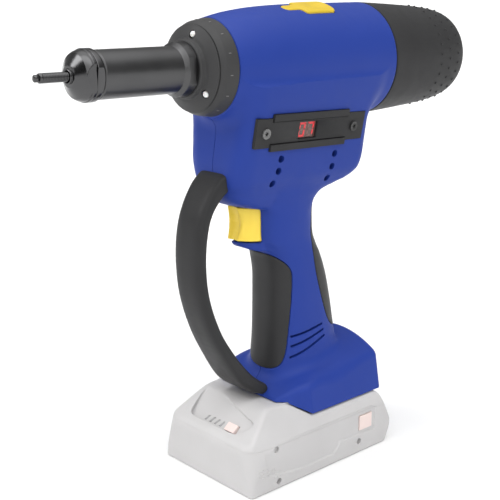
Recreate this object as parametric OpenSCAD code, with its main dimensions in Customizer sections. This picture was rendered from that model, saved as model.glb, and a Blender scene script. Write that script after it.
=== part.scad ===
// Cordless rivet tool: pistol grip, pulling nose, slide-on battery pack.
// Origin at the centre of the pack's underside, nose along -X, up +Z.

/* [Barrel] */
// height of the barrel axis above the pack's underside
axis_h = 234.5; // [220:0.5:250]
// front end of the blue barrel
barrel_x0 = -55; // [-60:0.5:-50]
// rear end of the blue barrel
barrel_x1 = 60; // [55:0.5:65]
// radius at the barrel's rear end
barrel_r = 32.8; // [31:0.1:35]
// radius at the barrel's front end
barrel_front_r = 25.9; // [24:0.1:28]
// rear end of the cap
cap_x1 = 137; // [125:0.5:150]

/* [Nose] */
// outer radius of the nose tube
tube_r = 12; // [11:0.1:14]
// front face of the nosepiece
nose_x0 = -140.4; // [-150:0.5:-135]
// tip of the mandrel
mandrel_x0 = -159; // [-170:0.5:-150]
// radius of the mandrel's thread
mandrel_r = 2.45; // [1.5:0.05:2.5]
// travel of the pulled spindle
pull_stroke = 10; // [6:0.5:12]

/* [Handle] */
// wall left under the soft grips
grip_t = 2; // [1:0.1:3]
// half width of the trigger
trigger_hw = 8.5; // [7:0.1:10]
// trigger travel
trigger_travel = 6; // [3:0.5:7]

/* [Battery] */
// pack length
pack_l = 118; // [100:1:140]
// pack width
pack_w = 77.8; // [70:0.2:90]
// height of the pack's parting line
pack_split = 26; // [24:0.5:30]
// cell radius
cell_r = 10.6; // [9:0.1:11]
// cell length
cell_l = 70; // [60:1:72]

/* [Gears] */
// gear module
gear_m = 0.9; // [0.8:0.05:1]
// teeth on the sun gear
sun_z = 12; // [12:3:18]
// teeth on each planet gear
planet_z = 15; // [12:3:18]
// flank clearance at the pitch circle
backlash = 0.16; // [0.05:0.01:0.3]

/* [Hidden] */
$fn = 64;
AX = axis_h;
ring_z = sun_z + 2 * planet_z;
gear_a = gear_m * (sun_z + planet_z) / 2;
PL = pack_l / 2;
PW = pack_w / 2;
lean = 10.4;
// the side plate falls slightly to the rear, and the top latch sits round from the top
plate_tilt = -1.35;
latch_turn = 17.5;
NF = 32;

// handle stations: height, front, rear, half width
HS = [
  [50, -17, 42, 23], [64, -16, 38, 21], [78, -15.5, 35, 19.6], [94, -15.3, 31.8, 19],
  [110, -15.2, 27.7, 18.5], [124, -17.2, 22.3, 18], [131, -21, 18.9, 17.4], [136.5, -25.8, 17.2, 17],
  [142, -26.5, 16.6, 16.9], [150, -26.7, 16.4, 16.8], [160, -27.4, 17, 16.8], [172, -31, 20, 17]
];

// half width of the block at each height
BLOCK_W = [[150, 12.5], [158, 14.6], [162, 16.2], [165.5, 17.2], [168, 18.4], [171, 20.2], [174, 21.5], [178.5, 22.6], [185.5, 23.8], [191, 24.6], [200, 26], [209, 27.6], [216, 28.7], [224, 29.6]];

// guard stations: x, z, half width, half thickness
GS = [
  [-50, 174, 11, 5], [-54, 171.5, 11, 5.5], [-58, 167.5, 11, 5], [-62, 162, 11, 4.3], [-65, 156, 11, 4], [-67, 149, 11, 4],
  [-68.3, 140, 11, 4], [-68.6, 130, 11, 4], [-67.8, 119, 11, 4], [-65.8, 108.5, 11, 4], [-62, 97, 11, 4],
  [-57.2, 86, 11.4, 4], [-51, 76, 12, 4], [-44, 66.5, 12.6, 4], [-37, 58.2, 13.2, 3.8], [-30.5, 52.6, 13.8, 3], [-24, 49.6, 14, 1.9]
];

// housing screws: x, z, y of the head's seat, half length of the post
SCREWS = [[-41.5, 186, 15, 20], [33, 186, 15, 20], [10.5, 160.5, 9, 13], [6, 104, 11, 15.5], [44, 58, 20, 20]];

// side vents: x, z
VENTS = [[-23.8, 185.4], [-24.7, 178.7], [-27.3, 171.8], [18.6, 184], [18.1, 176.5], [17, 169.6]];

function flat(l) = [for (a = l) for (b = a) b];
function sup(a, b, n, m) = [for (i = [0:m - 1]) let (t = 360 * (i + 0.5) / m, c = cos(t), s = sin(t))
  [a * sign(c) * pow(abs(c), 2 / n), b * sign(s) * pow(abs(s), 2 / n)]];

module loft(rings) {
  m = len(rings[0]);
  k = len(rings);
  polyhedron(points = flat(rings), faces = concat(
    [[for (i = [0:m - 1]) i]],
    [[for (i = [m - 1:-1:0]) (k - 1) * m + i]],
    [for (j = [0:k - 2]) for (i = [0:m - 1]) [j * m + i, (j + 1) * m + i, (j + 1) * m + (i + 1) % m]],
    [for (j = [0:k - 2]) for (i = [0:m - 1]) [j * m + i, (j + 1) * m + (i + 1) % m, j * m + (i + 1) % m]]));
}

// turned shape about the barrel axis from [x, r] points
module turned(p) {
  translate([0, 0, AX]) rotate([0, 90, 0]) rotate_extrude() polygon([for (q = p) [q[1], q[0]]]);
}

module rod(x0, x1, r, y = 0, z = 0) {
  translate([x0, y, AX + z]) rotate([0, 90, 0]) cylinder(h = x1 - x0, r = r);
}

module tube(x0, x1, r0, r1) {
  turned([[x0, r0], [x1, r0], [x1, r1], [x0, r1]]);
}

module box(a, b) {
  translate(a) cube([b[0] - a[0], b[1] - a[1], b[2] - a[2]]);
}

// XZ outline drawn to both sides of the middle plane
module slab(p, w) {
  translate([0, w, 0]) rotate([90, 0, 0]) linear_extrude(height = 2 * w) polygon(p);
}

// local frame on the leaning side face of the block, normal outwards
module on_side(x) {
  translate([-3, -25.85, 200]) rotate([90 + lean, 0, 0]) rotate([0, 0, plate_tilt]) translate([x + 3, 0, 0]) children();
}

// frame of the top latch, turned about the barrel axis towards the left side
module on_top() {
  translate([0, 0, AX]) rotate([latch_turn, 0, 0]) translate([0, 0, -AX]) children();
}

module handle(d) {
  loft([for (s = HS) let (a = (s[2] - s[1]) / 2 - d, c = (s[1] + s[2]) / 2, q = sup(a, s[3] - d, 2.6, NF))
    [for (e = q) [e[0] + c, e[1], s[0]]]]);
}

// ---------------------------------------------------------------- housing

module barrel_body() {
  turned([[barrel_x0, 0], [barrel_x0, barrel_front_r], [-40, 29], [-20, 31], [0, 32], [barrel_x1, barrel_r], [barrel_x1, 0]]);
}

module block_body() {
  intersection() {
    slab([[-47.8, 224], [-49, 207], [-50.9, 194], [-52.5, 182], [-52.1, 172], [-50.4, 165.5], [-47.6, 161.2], [-45, 159.5], [-25, 155.5], [-10, 152.5],
      [6, 152.5], [10, 158], [17, 161], [24, 163], [30, 164.5], [38, 167], [42.3, 170], [44.6, 173], [45.6, 176], [46.4, 180], [46.8, 186], [46.8, 224]], 31);
    translate([-60, 0, 0]) rotate([90, 0, 90]) linear_extrude(height = 120) polygon([for (m = [1, -1]) for (q = m > 0 ? BLOCK_W : [for (i = [len(BLOCK_W) - 1:-1:0]) BLOCK_W[i]]) [m * q[1], q[0]]]);
    translate([0, 0, 150]) linear_extrude(height = 80) polygon([
      for (c = [[38.5, 17, 0, 8.4, 13], [-41, 8, 90, 11.6, 22], [-41, -8, 180, 11.6, 22], [38.5, -17, 270, 8.4, 13]]) for (t = [0:15:90])
        [c[0] + c[3] * cos(c[2] + t), c[1] + c[4] * sin(c[2] + t)]]);
  }
}

module foot_body() {
  difference() {
    hull() {
      box([-8.5, -36, 36.1], [50, 36, 37]);
      box([50, -34, 36.1], [52.6, 34, 37]);
      box([-27, -23.5, 44.5], [-26.5, 23.5, 46.2]);
      box([-22.5, -28, 44.5], [-22, 28, 46]);
      box([-18, -19, 50], [-17, 19, 50.6]);
      box([-18, -8, 50], [-17, 8, 51.8]);
      box([-9, -21, 54], [-8, 21, 54.2]);
      box([-9, -8, 54], [-8, 8, 56.2]);
      box([-8, -34.6, 40], [-7, 34.6, 42.4]);
      box([-1, -28, 50], [0, 28, 53.6]);
      box([20, -28, 55], [21, 28, 58]);
      box([20, -18, 60], [21, 18, 62.4]);
      box([20, -8, 60], [21, 8, 63.7]);
      box([47, -33, 52], [51.2, 33, 57]);
      box([46, -17, 60], [51.6, 17, 65.4]);
      box([46, -8, 60], [51.8, 8, 67.4]);
    }
    slab([[-40, 44.5], [-22.5, 44.5], [-8.5, 36.1], [-8.5, 30], [-40, 30]], 40);
  }
}

// ledge of the housing under the trigger
module trigger_ledge() {
  intersection() {
    slab([[-38.6, 137.6], [-38.4, 136.8], [-35, 134.5], [-31.5, 132.9], [-27, 131.4], [-20, 130.4], [-14, 130.4], [-14, 134.6]], 12);
    translate([0, 0, 125]) linear_extrude(height = 20) polygon([[-39, 0.5], [-37, 2.4], [-34, 4.8], [-30, 7.6], [-25, 9.6], [-14, 10.5],
      [-14, -10.5], [-25, -9.6], [-30, -7.6], [-34, -4.8], [-37, -2.4], [-39, -0.5]]);
  }
}

module housing_solid() {
  barrel_body();
  block_body();
  handle(0);
  foot_body();
  trigger_ledge();
}

module front_grip_zone(e) {
  slab([[-44, 129.8 + e], [-25, 129.6 + e], [-19.6 + e, 128.7 + e], [-16.2 + e, 127 + e], [-12.5 + e, 124.2 + e], [-9.4 + e, 121 + e], [-7.4 + e, 117.2], [-6.8 + e, 112.3], [-7 + e, 104],
    [-8 + e, 88], [-9.7 + e, 71.5], [-11.1 + e, 65], [-12.6 + e, 61 - e], [-15 + e, 57.9 - e], [-18, 56 - e], [-24, 55.3 - e], [-44, 55.3 - e]], 30);
}

module rear_grip_zone(e) {
  slab([[60, 155.5 + e], [13 - e, 155.5 + e], [9.9 - e, 151.5], [9 - e, 143.5], [8.8 - e, 135.5], [8.5 - e, 127.5], [10.2 - e, 115.1], [14.2 - e, 100.9], [18.6 - e, 88.3],
    [22 - e, 82 - e], [26 - e, 78.2 - e], [32, 76 - e], [60, 75 - e]], 30);
}

module housing_void() {
  turned([[-57, 0], [-57, 20.3], [-50.2, 20.3], [-50.2, 22.6], [-40, 26], [-20, 28.3], [0, 29.2], [62, 29.4], [62, 0]]);
  box([-45, -18.5, 180], [40.5, 18.5, 216]);
  box([-40, -13.5, 165], [26, 13.5, 181]);
  intersection() {
    handle(4.8);
    box([-60, -30, 50], [60, 30, 171]);
  }
  // trigger opening
  trigger_room();
  // pack bay
  box([-36, -28.5, 38.2], [49, 28.5, 44.5]);
  box([-36, -22.4, 30], [49, 22.4, 38.4]);
  box([-4, -15, 44.3], [46.3, 15, 51.4]);
}

// ribs and screw posts inside the halves
module housing_inner() {
  for (q = [[-30, 28.5], [11, 30.5], [45, 31]]) tube(q[0], q[0] + 3, 25.3, q[1]);
  for (s = SCREWS) translate([s[0], 0, s[1]]) rotate([90, 0, 0]) cylinder(h = 2 * s[3], r = 3.8, center = true);
}

module housing_cuts() {
  // guard seats
  guard_band(0.15);
  // grips
  difference() {
    front_grip_zone(0.1);
    handle(grip_t);
  }
  difference() {
    rear_grip_zone(0.1);
    handle(grip_t);
  }
  // side vents
  for (q = VENTS) translate([q[0], 0, q[1]]) {
    translate([0, -13, 0]) rotate([90, 0, 0]) cylinder(h = 18, r = 2);
    translate([0, 31, 0]) rotate([90, 0, 0]) cylinder(h = 18, r = 2);
  }
  for (k = [0:2]) for (m = [-1, 1])
    translate([4.2, m * 19, 79.7 - k * 5]) rotate([0, -9.2 - 4.8 * k, 0]) cube([22.5 + 1.9 * k, 12, 1.4], center = true);
  // guard screws
  guard_axis() cylinder(h = 20, r = 1.65);
  translate([-23.5, 0, 44]) cylinder(h = 8, r = 1.65);
  translate([-23.5, 0, 44]) cylinder(h = 2, r = 3.2);
  // top latch pocket
  on_top() {
    box([0.7, -9.2, 258], [27.8, 9.2, 272]);
    box([-11.8, -4.2, 258], [1.4, 4.2, 272]);
  }
  // screws
  for (s = SCREWS) translate([s[0], 0, s[1]]) {
    translate([0, s[2] + 1, 0]) rotate([90, 0, 0]) cylinder(h = s[2] + 12, r = 1.6);
    translate([0, 40, 0]) rotate([90, 0, 0]) cylinder(h = 40 - s[2], r = 3.5);
  }
}

module housing() {
  difference() {
    union() {
      difference() {
        housing_solid();
        housing_void();
      }
      housing_inner();
    }
    housing_cuts();
  }
}

module housing_left() {
  color([0.16, 0.24, 0.58]) difference() {
    intersection() {
      housing();
      box([-90, -60, 20], [90, -0.02, 290]);
    }
    // seat of the side plate
    on_side(-3) translate([-42.3, -8.3, -1.6]) cube([84.6, 16.6, 20]);
    for (s = [-1, 1]) on_side(-4.7) translate([-29.4, s * 8.25 - 2.1, -1.4]) cube([58.8, 4.2, 12]);
    on_side(-3) for (x = [-35, 33.1]) translate([x, 0, -9]) cylinder(h = 12, r = 1.3);
    on_side(-4) translate([-29, -6.3, -12]) cube([57, 12.6, 14]);
  }
}

module housing_right() {
  color([0.16, 0.24, 0.58]) intersection() {
    housing();
    box([-90, 0.02, 20], [90, 60, 290]);
  }
}

module housing_screws() {
  color([0.3, 0.3, 0.32]) for (s = SCREWS) translate([s[0], s[2], s[1]]) rotate([90, 0, 0]) difference() {
    union() {
      translate([0, 0, -2.4]) cylinder(h = 2.4, r = 3.2);
      cylinder(h = s[2] + 9, r = 1.5);
    }
    translate([0, 0, -2.5]) cylinder(h = 1.4, r = 1.5, $fn = 6);
  }
}

// ---------------------------------------------------------------- nose

module nose_flange() {
  color([0.2, 0.2, 0.2]) difference() {
    turned([[-72, 11], [-72, 14.6], [-70.6, 15], [-69.6, 16.4], [-66, 23], [-65.9, 20], [-50, 20], [-50, 22.3], [-46, 22.3], [-46, 9.6], [-55, 9.6], [-55, 11]]);
    for (t = [102, 222, 342]) translate([-72, 18 * cos(t), AX + 18 * sin(t)]) rotate([0, 90, 0]) cylinder(h = 14, r = 1.9);
    turned([[-61, 15.8], [-57, 15.8], [-57, 21], [-61, 21]]);
  }
}

module work_light_lenses() {
  color([0.95, 0.95, 0.95]) for (t = [102, 222, 342]) translate([-68.2, 18 * cos(t), AX + 18 * sin(t)]) rotate([0, 90, 0]) cylinder(h = 6.8, r = 1.8);
}

module work_light_board() {
  color([0.1, 0.35, 0.2]) tube(-60.6, -59.4, 16, 19.8);
}

module front_collar() {
  color([0.22, 0.22, 0.22]) difference() {
    turned([[-65.6, 20.06], [-65.6, 23], [-64.6, 23.8], [-55.3, 25.8], [-55.3, 20.06]]);
    for (k = [0:13]) translate([-60, 0, AX]) rotate([5.4 + k * 360 / 14, 0, 0]) translate([0, 25.9, 0]) cube([4, 2, 1.2], center = true);
  }
}

module nose_tube() {
  color([0.12, 0.12, 0.13]) difference() {
    union() {
      turned([[-133.6, 8.2], [-133.6, 10.4], [-127, 10.4], [-126.8, 11.6], [-126.4, tube_r], [-79, tube_r], [-78, 14], [-72.2, 14], [-72.2, 10.97], [-55.2, 10.97], [-55.2, 8.2]]);
    }
    for (m = [-1, 1]) translate([-75.1, m * 14.1, AX]) cube([6, 4, 30], center = true);
  }
}

module lock_nut() {
  color([0.14, 0.14, 0.15]) difference() {
    turned([[-131.4, 10.45], [-131.4, 12.8], [-130.8, 13.2], [-127.8, 13.2], [-127.2, 12.6], [-127.2, 10.45]]);
    for (t = [7, 187]) translate([-129.3, 0, AX]) rotate([t, 0, 0]) translate([0, -13, 0]) cube([8, 3, 30], center = true);
  }
}

module nosepiece() {
  color([0.15, 0.15, 0.16]) difference() {
    turned([[nose_x0 - 1, 3.05], [nose_x0 - 1, 3.7], [nose_x0, 3.7], [nose_x0, 5.2], [-140, 5.7], [-137.3, 10.3], [-136.8, 11.2], [-136.2, 11.9], [-133.5, 12.35], [-132.9, 12.9], [-131.6, 12.9], [-131.6, 10.45], [-133.8, 10.45], [-133.8, 3.05]]);
    for (m = [-1, 1]) translate([-134, m * 13.1, AX]) cube([6, 4, 30], center = true);
  }
}

module threaded_mandrel() {
  color([0.25, 0.25, 0.26]) {
    turned([[mandrel_x0, 0], [mandrel_x0, 1], [mandrel_x0 + 0.6, 1.6], [mandrel_x0 + 1.9, 1.6], [mandrel_x0 + 2.2, 1.3], [mandrel_x0 + 2.8, 1.3],
      [mandrel_x0 + 4, mandrel_r], [-133, mandrel_r], [-133, 4.2], [-126, 4.2], [-126, 0]]);
  }
}

module pull_adapter() {
  color([0.45, 0.45, 0.47]) difference() {
    turned([[-133, 4.2], [-133, 7], [-54.6, 7], [-54.6, 4], [-47, 4], [-47, 0], [-126, 0], [-126, 4.2]]);
    for (s = [-1, 1]) translate([-66, s * 8, AX]) cube([6, 3.4, 20], center = true);
  }
}

// ---------------------------------------------------------------- drive

module ball_screw() {
  color([0.6, 0.6, 0.62]) turned([[-54.2, 4.05], [-54.2, 8.6], [-45, 8.6], [-43.5, 6], [20, 6], [21.5, 5], [21.5, 0], [-46.5, 0], [-46.5, 4.05]]);
}

module ball_nut() {
  color([0.5, 0.5, 0.52]) turned([[-20, 6.06], [-20, 17], [-15, 17], [-15, 14.8], [9.8, 14.8], [9.8, 14.9], [22, 14.9], [22, 6.06]]);
}

module thrust_bearing() {
  color([0.7, 0.7, 0.72]) {
    tube(-28, -25.6, 9.8, 19);
    tube(-22.6, -20.2, 9.8, 19);
    for (k = [0:11]) translate([-24.1, 14.4 * cos(30 * k), AX + 14.4 * sin(30 * k)]) sphere(r = 1.45, $fn = 24);
  }
}

module nut_bearing() {
  color([0.7, 0.7, 0.72]) tube(10, 18, 14.95, 20);
}

module gear_case() {
  color([0.35, 0.35, 0.37]) turned([[-32, 10], [-32, 25.2], [49.9, 25.2], [49.9, 23], [47.6, 23], [47.6, 22.55], [36.4, 22.55], [36.4, 20.5], [18.1, 20.5],
    [18.1, 20.02], [9.9, 20.02], [9.9, 19.6], [-20.4, 19.6], [-20.4, 19.03], [-28.05, 19.03], [-28.05, 10]]);
}

function inv(a) = tan(a) * 180 / PI - a;
// involute half tooth angle at radius r for an outside gear
function half_a(z, r, s) = let (rp = gear_m * z / 2, rb = rp * cos(25), c = r > rb ? acos(rb / r) : 0)
  90 / z + inv(25) - inv(c) - s * backlash / 2 / rp * 180 / PI;

function teeth(z, ra, rf, s) = [for (k = [0:z - 1]) let (c = 360 * k / z)
  each concat(
    [for (j = [0:4]) let (r = rf + (ra - rf) * j / 4) [r * cos(c - half_a(z, r, s)), r * sin(c - half_a(z, r, s))]],
    [for (j = [4:-1:0]) let (r = rf + (ra - rf) * j / 4) [r * cos(c + half_a(z, r, s)), r * sin(c + half_a(z, r, s))]])];

module gear(z, ra, rf, s, h) {
  rotate([0, 90, 0]) rotate([0, 0, 90]) linear_extrude(height = h) polygon(teeth(z, ra, rf, s));
}

sun_rp = gear_m * sun_z / 2;
planet_rp = gear_m * planet_z / 2;
ring_rp = gear_m * ring_z / 2;

module ring_gear() {
  color([0.55, 0.55, 0.57]) translate([36.6, 0, AX]) rotate([0, 90, 0]) rotate([0, 0, 90]) linear_extrude(height = 10.8) difference() {
    circle(r = 22.5);
    polygon(teeth(ring_z, ring_rp + gear_m * 1.12, ring_rp - gear_m * 0.85, -1));
  }
}

module sun_gear() {
  color([0.6, 0.58, 0.5]) translate([37, 0, AX]) difference() {
    gear(sun_z, sun_rp + gear_m * 0.85, sun_rp - gear_m * 1.05, 1, 10);
    translate([-1, 0, 0]) rotate([0, 90, 0]) cylinder(h = 12, r = 2.5);
  }
}

module planet(k) {
  translate([37, gear_a * cos(120 * k), AX + gear_a * sin(120 * k)]) rotate([planet_turn(k), 0, 0]) difference() {
    gear(planet_z, planet_rp + gear_m * 0.85, planet_rp - gear_m * 1.05, 1, 9);
    translate([-1, 0, 0]) rotate([0, 90, 0]) cylinder(h = 12, r = 2.05);
  }
}

// a planet at angle p has a tooth pointing outwards into a ring gap when its own angle is p plus this
function planet_turn(k) = 120 * k;

module planet_gear_1() { color([0.6, 0.58, 0.5]) planet(0); }
module planet_gear_2() { color([0.6, 0.58, 0.5]) planet(1); }
module planet_gear_3() { color([0.6, 0.58, 0.5]) planet(2); }

module planet_carrier() {
  color([0.5, 0.5, 0.52]) {
    turned([[22.05, 7], [22.05, 12], [31.5, 12], [31.5, 17], [36, 17], [36, 7]]);
    for (k = [0:2]) rod(36, 46.6, 2, gear_a * cos(120 * k), gear_a * sin(120 * k));
  }
}

module motor_can() {
  color([0.4, 0.4, 0.42]) turned([[50, 6.55], [50, 25.2], [52, 25.2], [52, 29.2], [58, 29.2], [58, 26.5], [70, 26.5], [70, 25.2], [99, 25.2], [99, 5.05], [96, 5.05],
    [96, 23.05], [53, 23.05], [53, 6.55]]);
}

module motor_stator() {
  color([0.5, 0.5, 0.52]) translate([58, 0, AX]) rotate([0, 90, 0]) linear_extrude(height = 33) difference() {
    circle(r = 23);
    circle(r = 13.2);
    for (k = [0:11]) rotate(30 * k) translate([14.6, -2]) square([5.6, 4]);
  }
}

module motor_windings() {
  color([0.72, 0.4, 0.18]) for (k = [0:11]) translate([56, 0, AX]) rotate([30 * k, 0, 0]) box([0, -1.9, 14.7], [37, 1.9, 20.1]);
}

module motor_rotor() {
  color([0.55, 0.55, 0.57]) turned([[36.8, 0], [36.8, 2.5], [57, 2.5], [57, 12.7], [92, 12.7], [92, 2.5], [113, 2.5], [113, 0]]);
}

module motor_bearings() {
  color([0.7, 0.7, 0.72]) {
    tube(50, 53, 2.55, 6.5);
    tube(96, 99, 2.55, 5);
  }
}

module cooling_fan() {
  color([0.15, 0.15, 0.16]) {
    tube(103, 105, 2.52, 20);
    tube(105, 111, 2.52, 6);
    for (k = [0:10]) translate([105, 0, AX]) rotate([k * 360 / 11, 0, 0]) box([0, -0.6, 6.6], [6, 0.6, 19.6]);
  }
}

module rear_cap() {
  color([0.2, 0.2, 0.2]) turned([[60.4, 26.56], [60.4, 32.6], [60.8, 32.8], [75, 32.1], [90, 31.3], [105, 30.4], [118, 29.2], [126, 28], [131.5, 26.6], [135, 24], [cap_x1 - 0.6, 19], [cap_x1, 0],
    [cap_x1 - 3, 0], [cap_x1 - 3.6, 18], [132.4, 22.6], [129.6, 24.2], [118, 26.6], [105, 27.8], [90, 28.7], [72, 29.6], [66, 29.6], [66, 26.56]]);
}

module top_latch() {
  color([0.95, 0.78, 0.15]) intersection() {
    on_top() {
      box([1, -8.9, 258], [27.5, 8.9, 272]);
      box([-11.5, -3.9, 258], [1.1, 3.9, 272]);
    }
    turned([[-12, 29.8], [-12, 31.8], [0, 32.4], [2, 33.1], [28, 33.5], [28, 29.8]]);
  }
}

// ---------------------------------------------------------------- side plate and electronics

module display_panel() {
  color([0.15, 0.15, 0.16]) on_side(-3) difference() {
    union() {
      translate([-42, -5.9, -1.4]) cube([84, 11.8, 2.2]);
      for (x = [[-42, -31.2], [27.8, 42]]) translate([x[0], -8, -1.4]) cube([x[1] - x[0], 16, 2.2]);
    }
    translate([-10.5, -4.9, -2]) cube([14.4, 9.8, 4]);
    for (x = [-35, 33.1]) translate([x, 0, -2]) cylinder(h = 4, r = 1.5);
  }
}

module display_window() {
  color([0.7, 0.08, 0.08]) on_side(-3) translate([-10.3, -4.7, -2.6]) cube([14, 9.4, 1.7]);
}

module panel_clips() {
  color([0.15, 0.15, 0.16]) for (s = [-1, 1]) on_side(-4.7) translate([-29.1, s * 8.25 - 1.85, -1.2]) cube([58.2, 3.7, 2.9]);
}

module panel_screws() {
  color([0.6, 0.6, 0.6]) on_side(-3) for (x = [-35, 33.1]) translate([x, 0, 0]) difference() {
    union() {
      translate([0, 0, 0.85]) cylinder(h = 1.3, r = 2.7);
      translate([0, 0, -6]) cylinder(h = 7, r = 1.25);
    }
    translate([0, 0, 1.3]) cylinder(h = 2, r = 1.3, $fn = 6);
  }
}

module display_board() {
  color([0.1, 0.35, 0.2]) on_side(-4) translate([-28, -6, -4.4]) cube([55, 12, 1.4]);
}

module control_board() {
  color([0.1, 0.35, 0.2]) {
    box([-36, 10, 182], [28, 11.6, 206]);
    box([-30, 2, 185], [-10, 10.5, 200]);
    for (x = [-4, 6, 16]) translate([x, 10.5, 192]) rotate([90, 0, 0]) cylinder(h = 9, r = 4);
  }
}

// ---------------------------------------------------------------- trigger and grips

// the trigger and its opening slope down towards the rear
function tz(x) = -0.12 * (x + 38.5);

module trigger() {
  color([0.95, 0.78, 0.15]) intersection() {
    slab([[-38.6, 157.5], [-37.2, 153.4], [-36.3, 149], [-36.3, 146.5], [-37.2, 142], [-38.6, 138.4], [-14, 138.4 + tz(-14)], [-14, 157.5 + tz(-14)]], trigger_hw);
    translate([0, 0, 120]) linear_extrude(height = 50) polygon([for (m = [1, -1]) for (q = m > 0 ? [[-14, 8.5], [-25.5, 8.5], [-31, 7.7], [-35.5, 6], [-39, 4]] : [[-39, 4], [-35.5, 6], [-31, 7.7], [-25.5, 8.5], [-14, 8.5]]) [q[0], m * q[1] * trigger_hw / 8.5]]);
  }
}

module trigger_room() {
  slab([[-60, 158.1 + tz(-60)], [-60, 137.8 + tz(-60)], [-4, 137.8 + tz(-4)], [-4, 158.1 + tz(-4)]], trigger_hw + 0.4);
}

module trigger_switch() {
  color([0.1, 0.1, 0.1]) {
    box([-7.6, -8, 137], [6, 8, 158]);
    translate([-7.6, 0, 148]) rotate([0, -90, 0]) cylinder(h = 0.3, r = 3);
  }
}

module grip_front() {
  color([0.2, 0.2, 0.2]) difference() {
    intersection() {
      handle(0);
      front_grip_zone(0);
    }
    handle(grip_t - 0.1);
    trigger_room();
  }
}

module grip_rear() {
  color([0.2, 0.2, 0.2]) difference() {
    intersection() {
      handle(0);
      rear_grip_zone(0);
    }
    handle(grip_t - 0.1);
  }
}

// ---------------------------------------------------------------- guard

function gdir(i) = let (a = GS[max(i - 1, 0)], b = GS[min(i + 1, len(GS) - 1)], d = [b[0] - a[0], b[1] - a[1]]) d / norm(d);

module guard_band(e) {
  loft([for (i = [0:len(GS) - 1]) let (s = GS[i], d = gdir(i), n = [-d[1], d[0]], w = s[2] + e, t = s[3] + e, c = min(2, 0.6 * t),
      o = i == 0 ? -e : (i == len(GS) - 1 ? e : 0))
    [for (q = [[w, t - c], [w - c, t], [-w + c, t], [-w, t - c], [-w, -t + c], [-w + c, -t], [w - c, -t], [w, -t + c]])
      [s[0] + n[0] * q[1] + d[0] * o, q[0], s[1] + n[1] * q[1] + d[1] * o]]]);
}

module hand_guard() {
  color([0.2, 0.2, 0.2]) difference() {
    guard_band(0);
    guard_axis() translate([0, 0, -0.2]) cylinder(h = 16, r = 1.7);
    translate([-23.5, 0, 44]) cylinder(h = 6.4, r = 1.7);
  }
}

// screw line through the guard's upper end
module guard_axis() {
  translate([-57, 0, 173.5]) rotate([0, 90, 0]) children();
}

module guard_screws() {
  color([0.3, 0.3, 0.32]) {
    guard_axis() {
      cylinder(h = 17.5, r = 1.6);
      translate([0, 0, 17.2]) cylinder(h = 1.8, r = 3);
    }
    translate([-23.5, 0, 44.6]) {
      cylinder(h = 1.3, r = 3);
      cylinder(h = 5.6, r = 1.6);
    }
  }
}

// ---------------------------------------------------------------- battery

module pack_outline(r, h) {
  linear_extrude(height = h) polygon([for (c = [[1, 1, 0], [-1, 1, 90], [-1, -1, 180], [1, -1, 270]]) for (t = [0:15:90])
    [c[0] * (PL - 4) + (4 - r) * cos(c[2] + t), c[1] * (PW - 4) + (4 - r) * sin(c[2] + t)]]);
}

// side view of the pack: rear bevel at the bottom, rear leaning in above
module pack_side(d) {
  slab([[-80, -10], [PL - 9.4 - d, -10], [PL - 4.4 - d, 0], [PL - d, 8.8], [PL - d, 14.2], [PL - 2.1 - d, 18], [PL - 6.5 - d, 26], [PL - 14.2 - d, 40], [-80, 40]], 60);
}

module pack_head() {
  hull() {
    box([-58, -36, 26], [-40, 36, 27]);
    box([-36.9, -29, 43], [-23.2, 29, 44.1]);
    box([-20, -36, 26], [-9, 36, 35.4]);
    box([-55.5, -36, 29], [-50, 36, 29.5]);
  }
  hull() {
    box([-20, -37.5, 26], [52.4, 37.5, 26.2]);
    box([-20, -36.5, 35], [47.5, 36.5, 35.6]);
  }
  hull() {
    box([-57.5, -37.5, 26], [0, 37.5, 26.2]);
    box([-50, -36.8, 33], [0, 36.8, 33.4]);
  }
}

module battery_lower_shell() {
  color([0.8, 0.8, 0.8]) difference() {
    intersection() {
      pack_outline(0, pack_split - 0.02);
      pack_side(0);
    }
    intersection() {
      translate([0, 0, 2]) pack_outline(2, 40);
      pack_side(2.2);
    }
    for (m = [-1, 1]) box([29.3, m * 38 - 3, 14.3], [40.7, m * 38 + 3, 23.9]);
    for (x = [-40, 40]) for (y = [-20, 20]) translate([x, y, -1]) cylinder(h = 6, r = 1.6);
    for (x = [-40, 40]) for (y = [-20, 20]) translate([x, y, -1]) cylinder(h = 2, r = 3);
  }
}

module battery_upper_shell() {
  color([0.82, 0.82, 0.82]) difference() {
    union() {
      pack_head();
      // rail block with overhanging flange
      box([-20, -22, 35], [38, 22, 38.6]);
      box([-26, -27.5, 38.6], [38, 27.5, 44.1]);
    }
    hull() {
      box([-51.5, -34, 25], [49.5, 34, 25.5]);
      box([-44, -33, 31], [45, 33, 32.3]);
    }
    // blade slots, open at the rear
    for (y = [-12, -4, 4, 12]) box([20, y - 1, 31], [39, y + 1, 42.6]);
    // sloped front face: sunk field, button and charge bars
    on_slope() {
      translate([0, 10, -0.25]) rotate([6.28, 0, 0]) linear_extrude(height = 8) translate([0, -10]) polygon([[23.2, 10.5], [23.8, 1], [22, -8.2], [15, -9.9], [-5.4, -9.9],
        [-19.5, -8.9], [-25.6, -0.2], [-18, 2.6], [-6, 5.5], [8, 9.5], [17, 12]]);
      translate([-16.5, -9.5, -4.4]) cube([8.6, 5.8, 6]);
      for (k = [0:3]) translate([-3.8 + 4.3 * k, -8.6, -3.1]) cube([1.4, 4, 2]);
    }
  }
}

// frame on the pack's sloped front: x across, y up the slope, z outwards
module on_slope() {
  translate([-46, 0, 37.05]) rotate([0, 0, -90]) rotate([38.5, 0, 0]) mirror([1, 0, 0]) children();
}

module charge_button() {
  color([0.9, 0.72, 0.68]) on_slope() translate([-16.2, -9.2, -3.4]) cube([8, 5.2, 2.8]);
}

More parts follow.
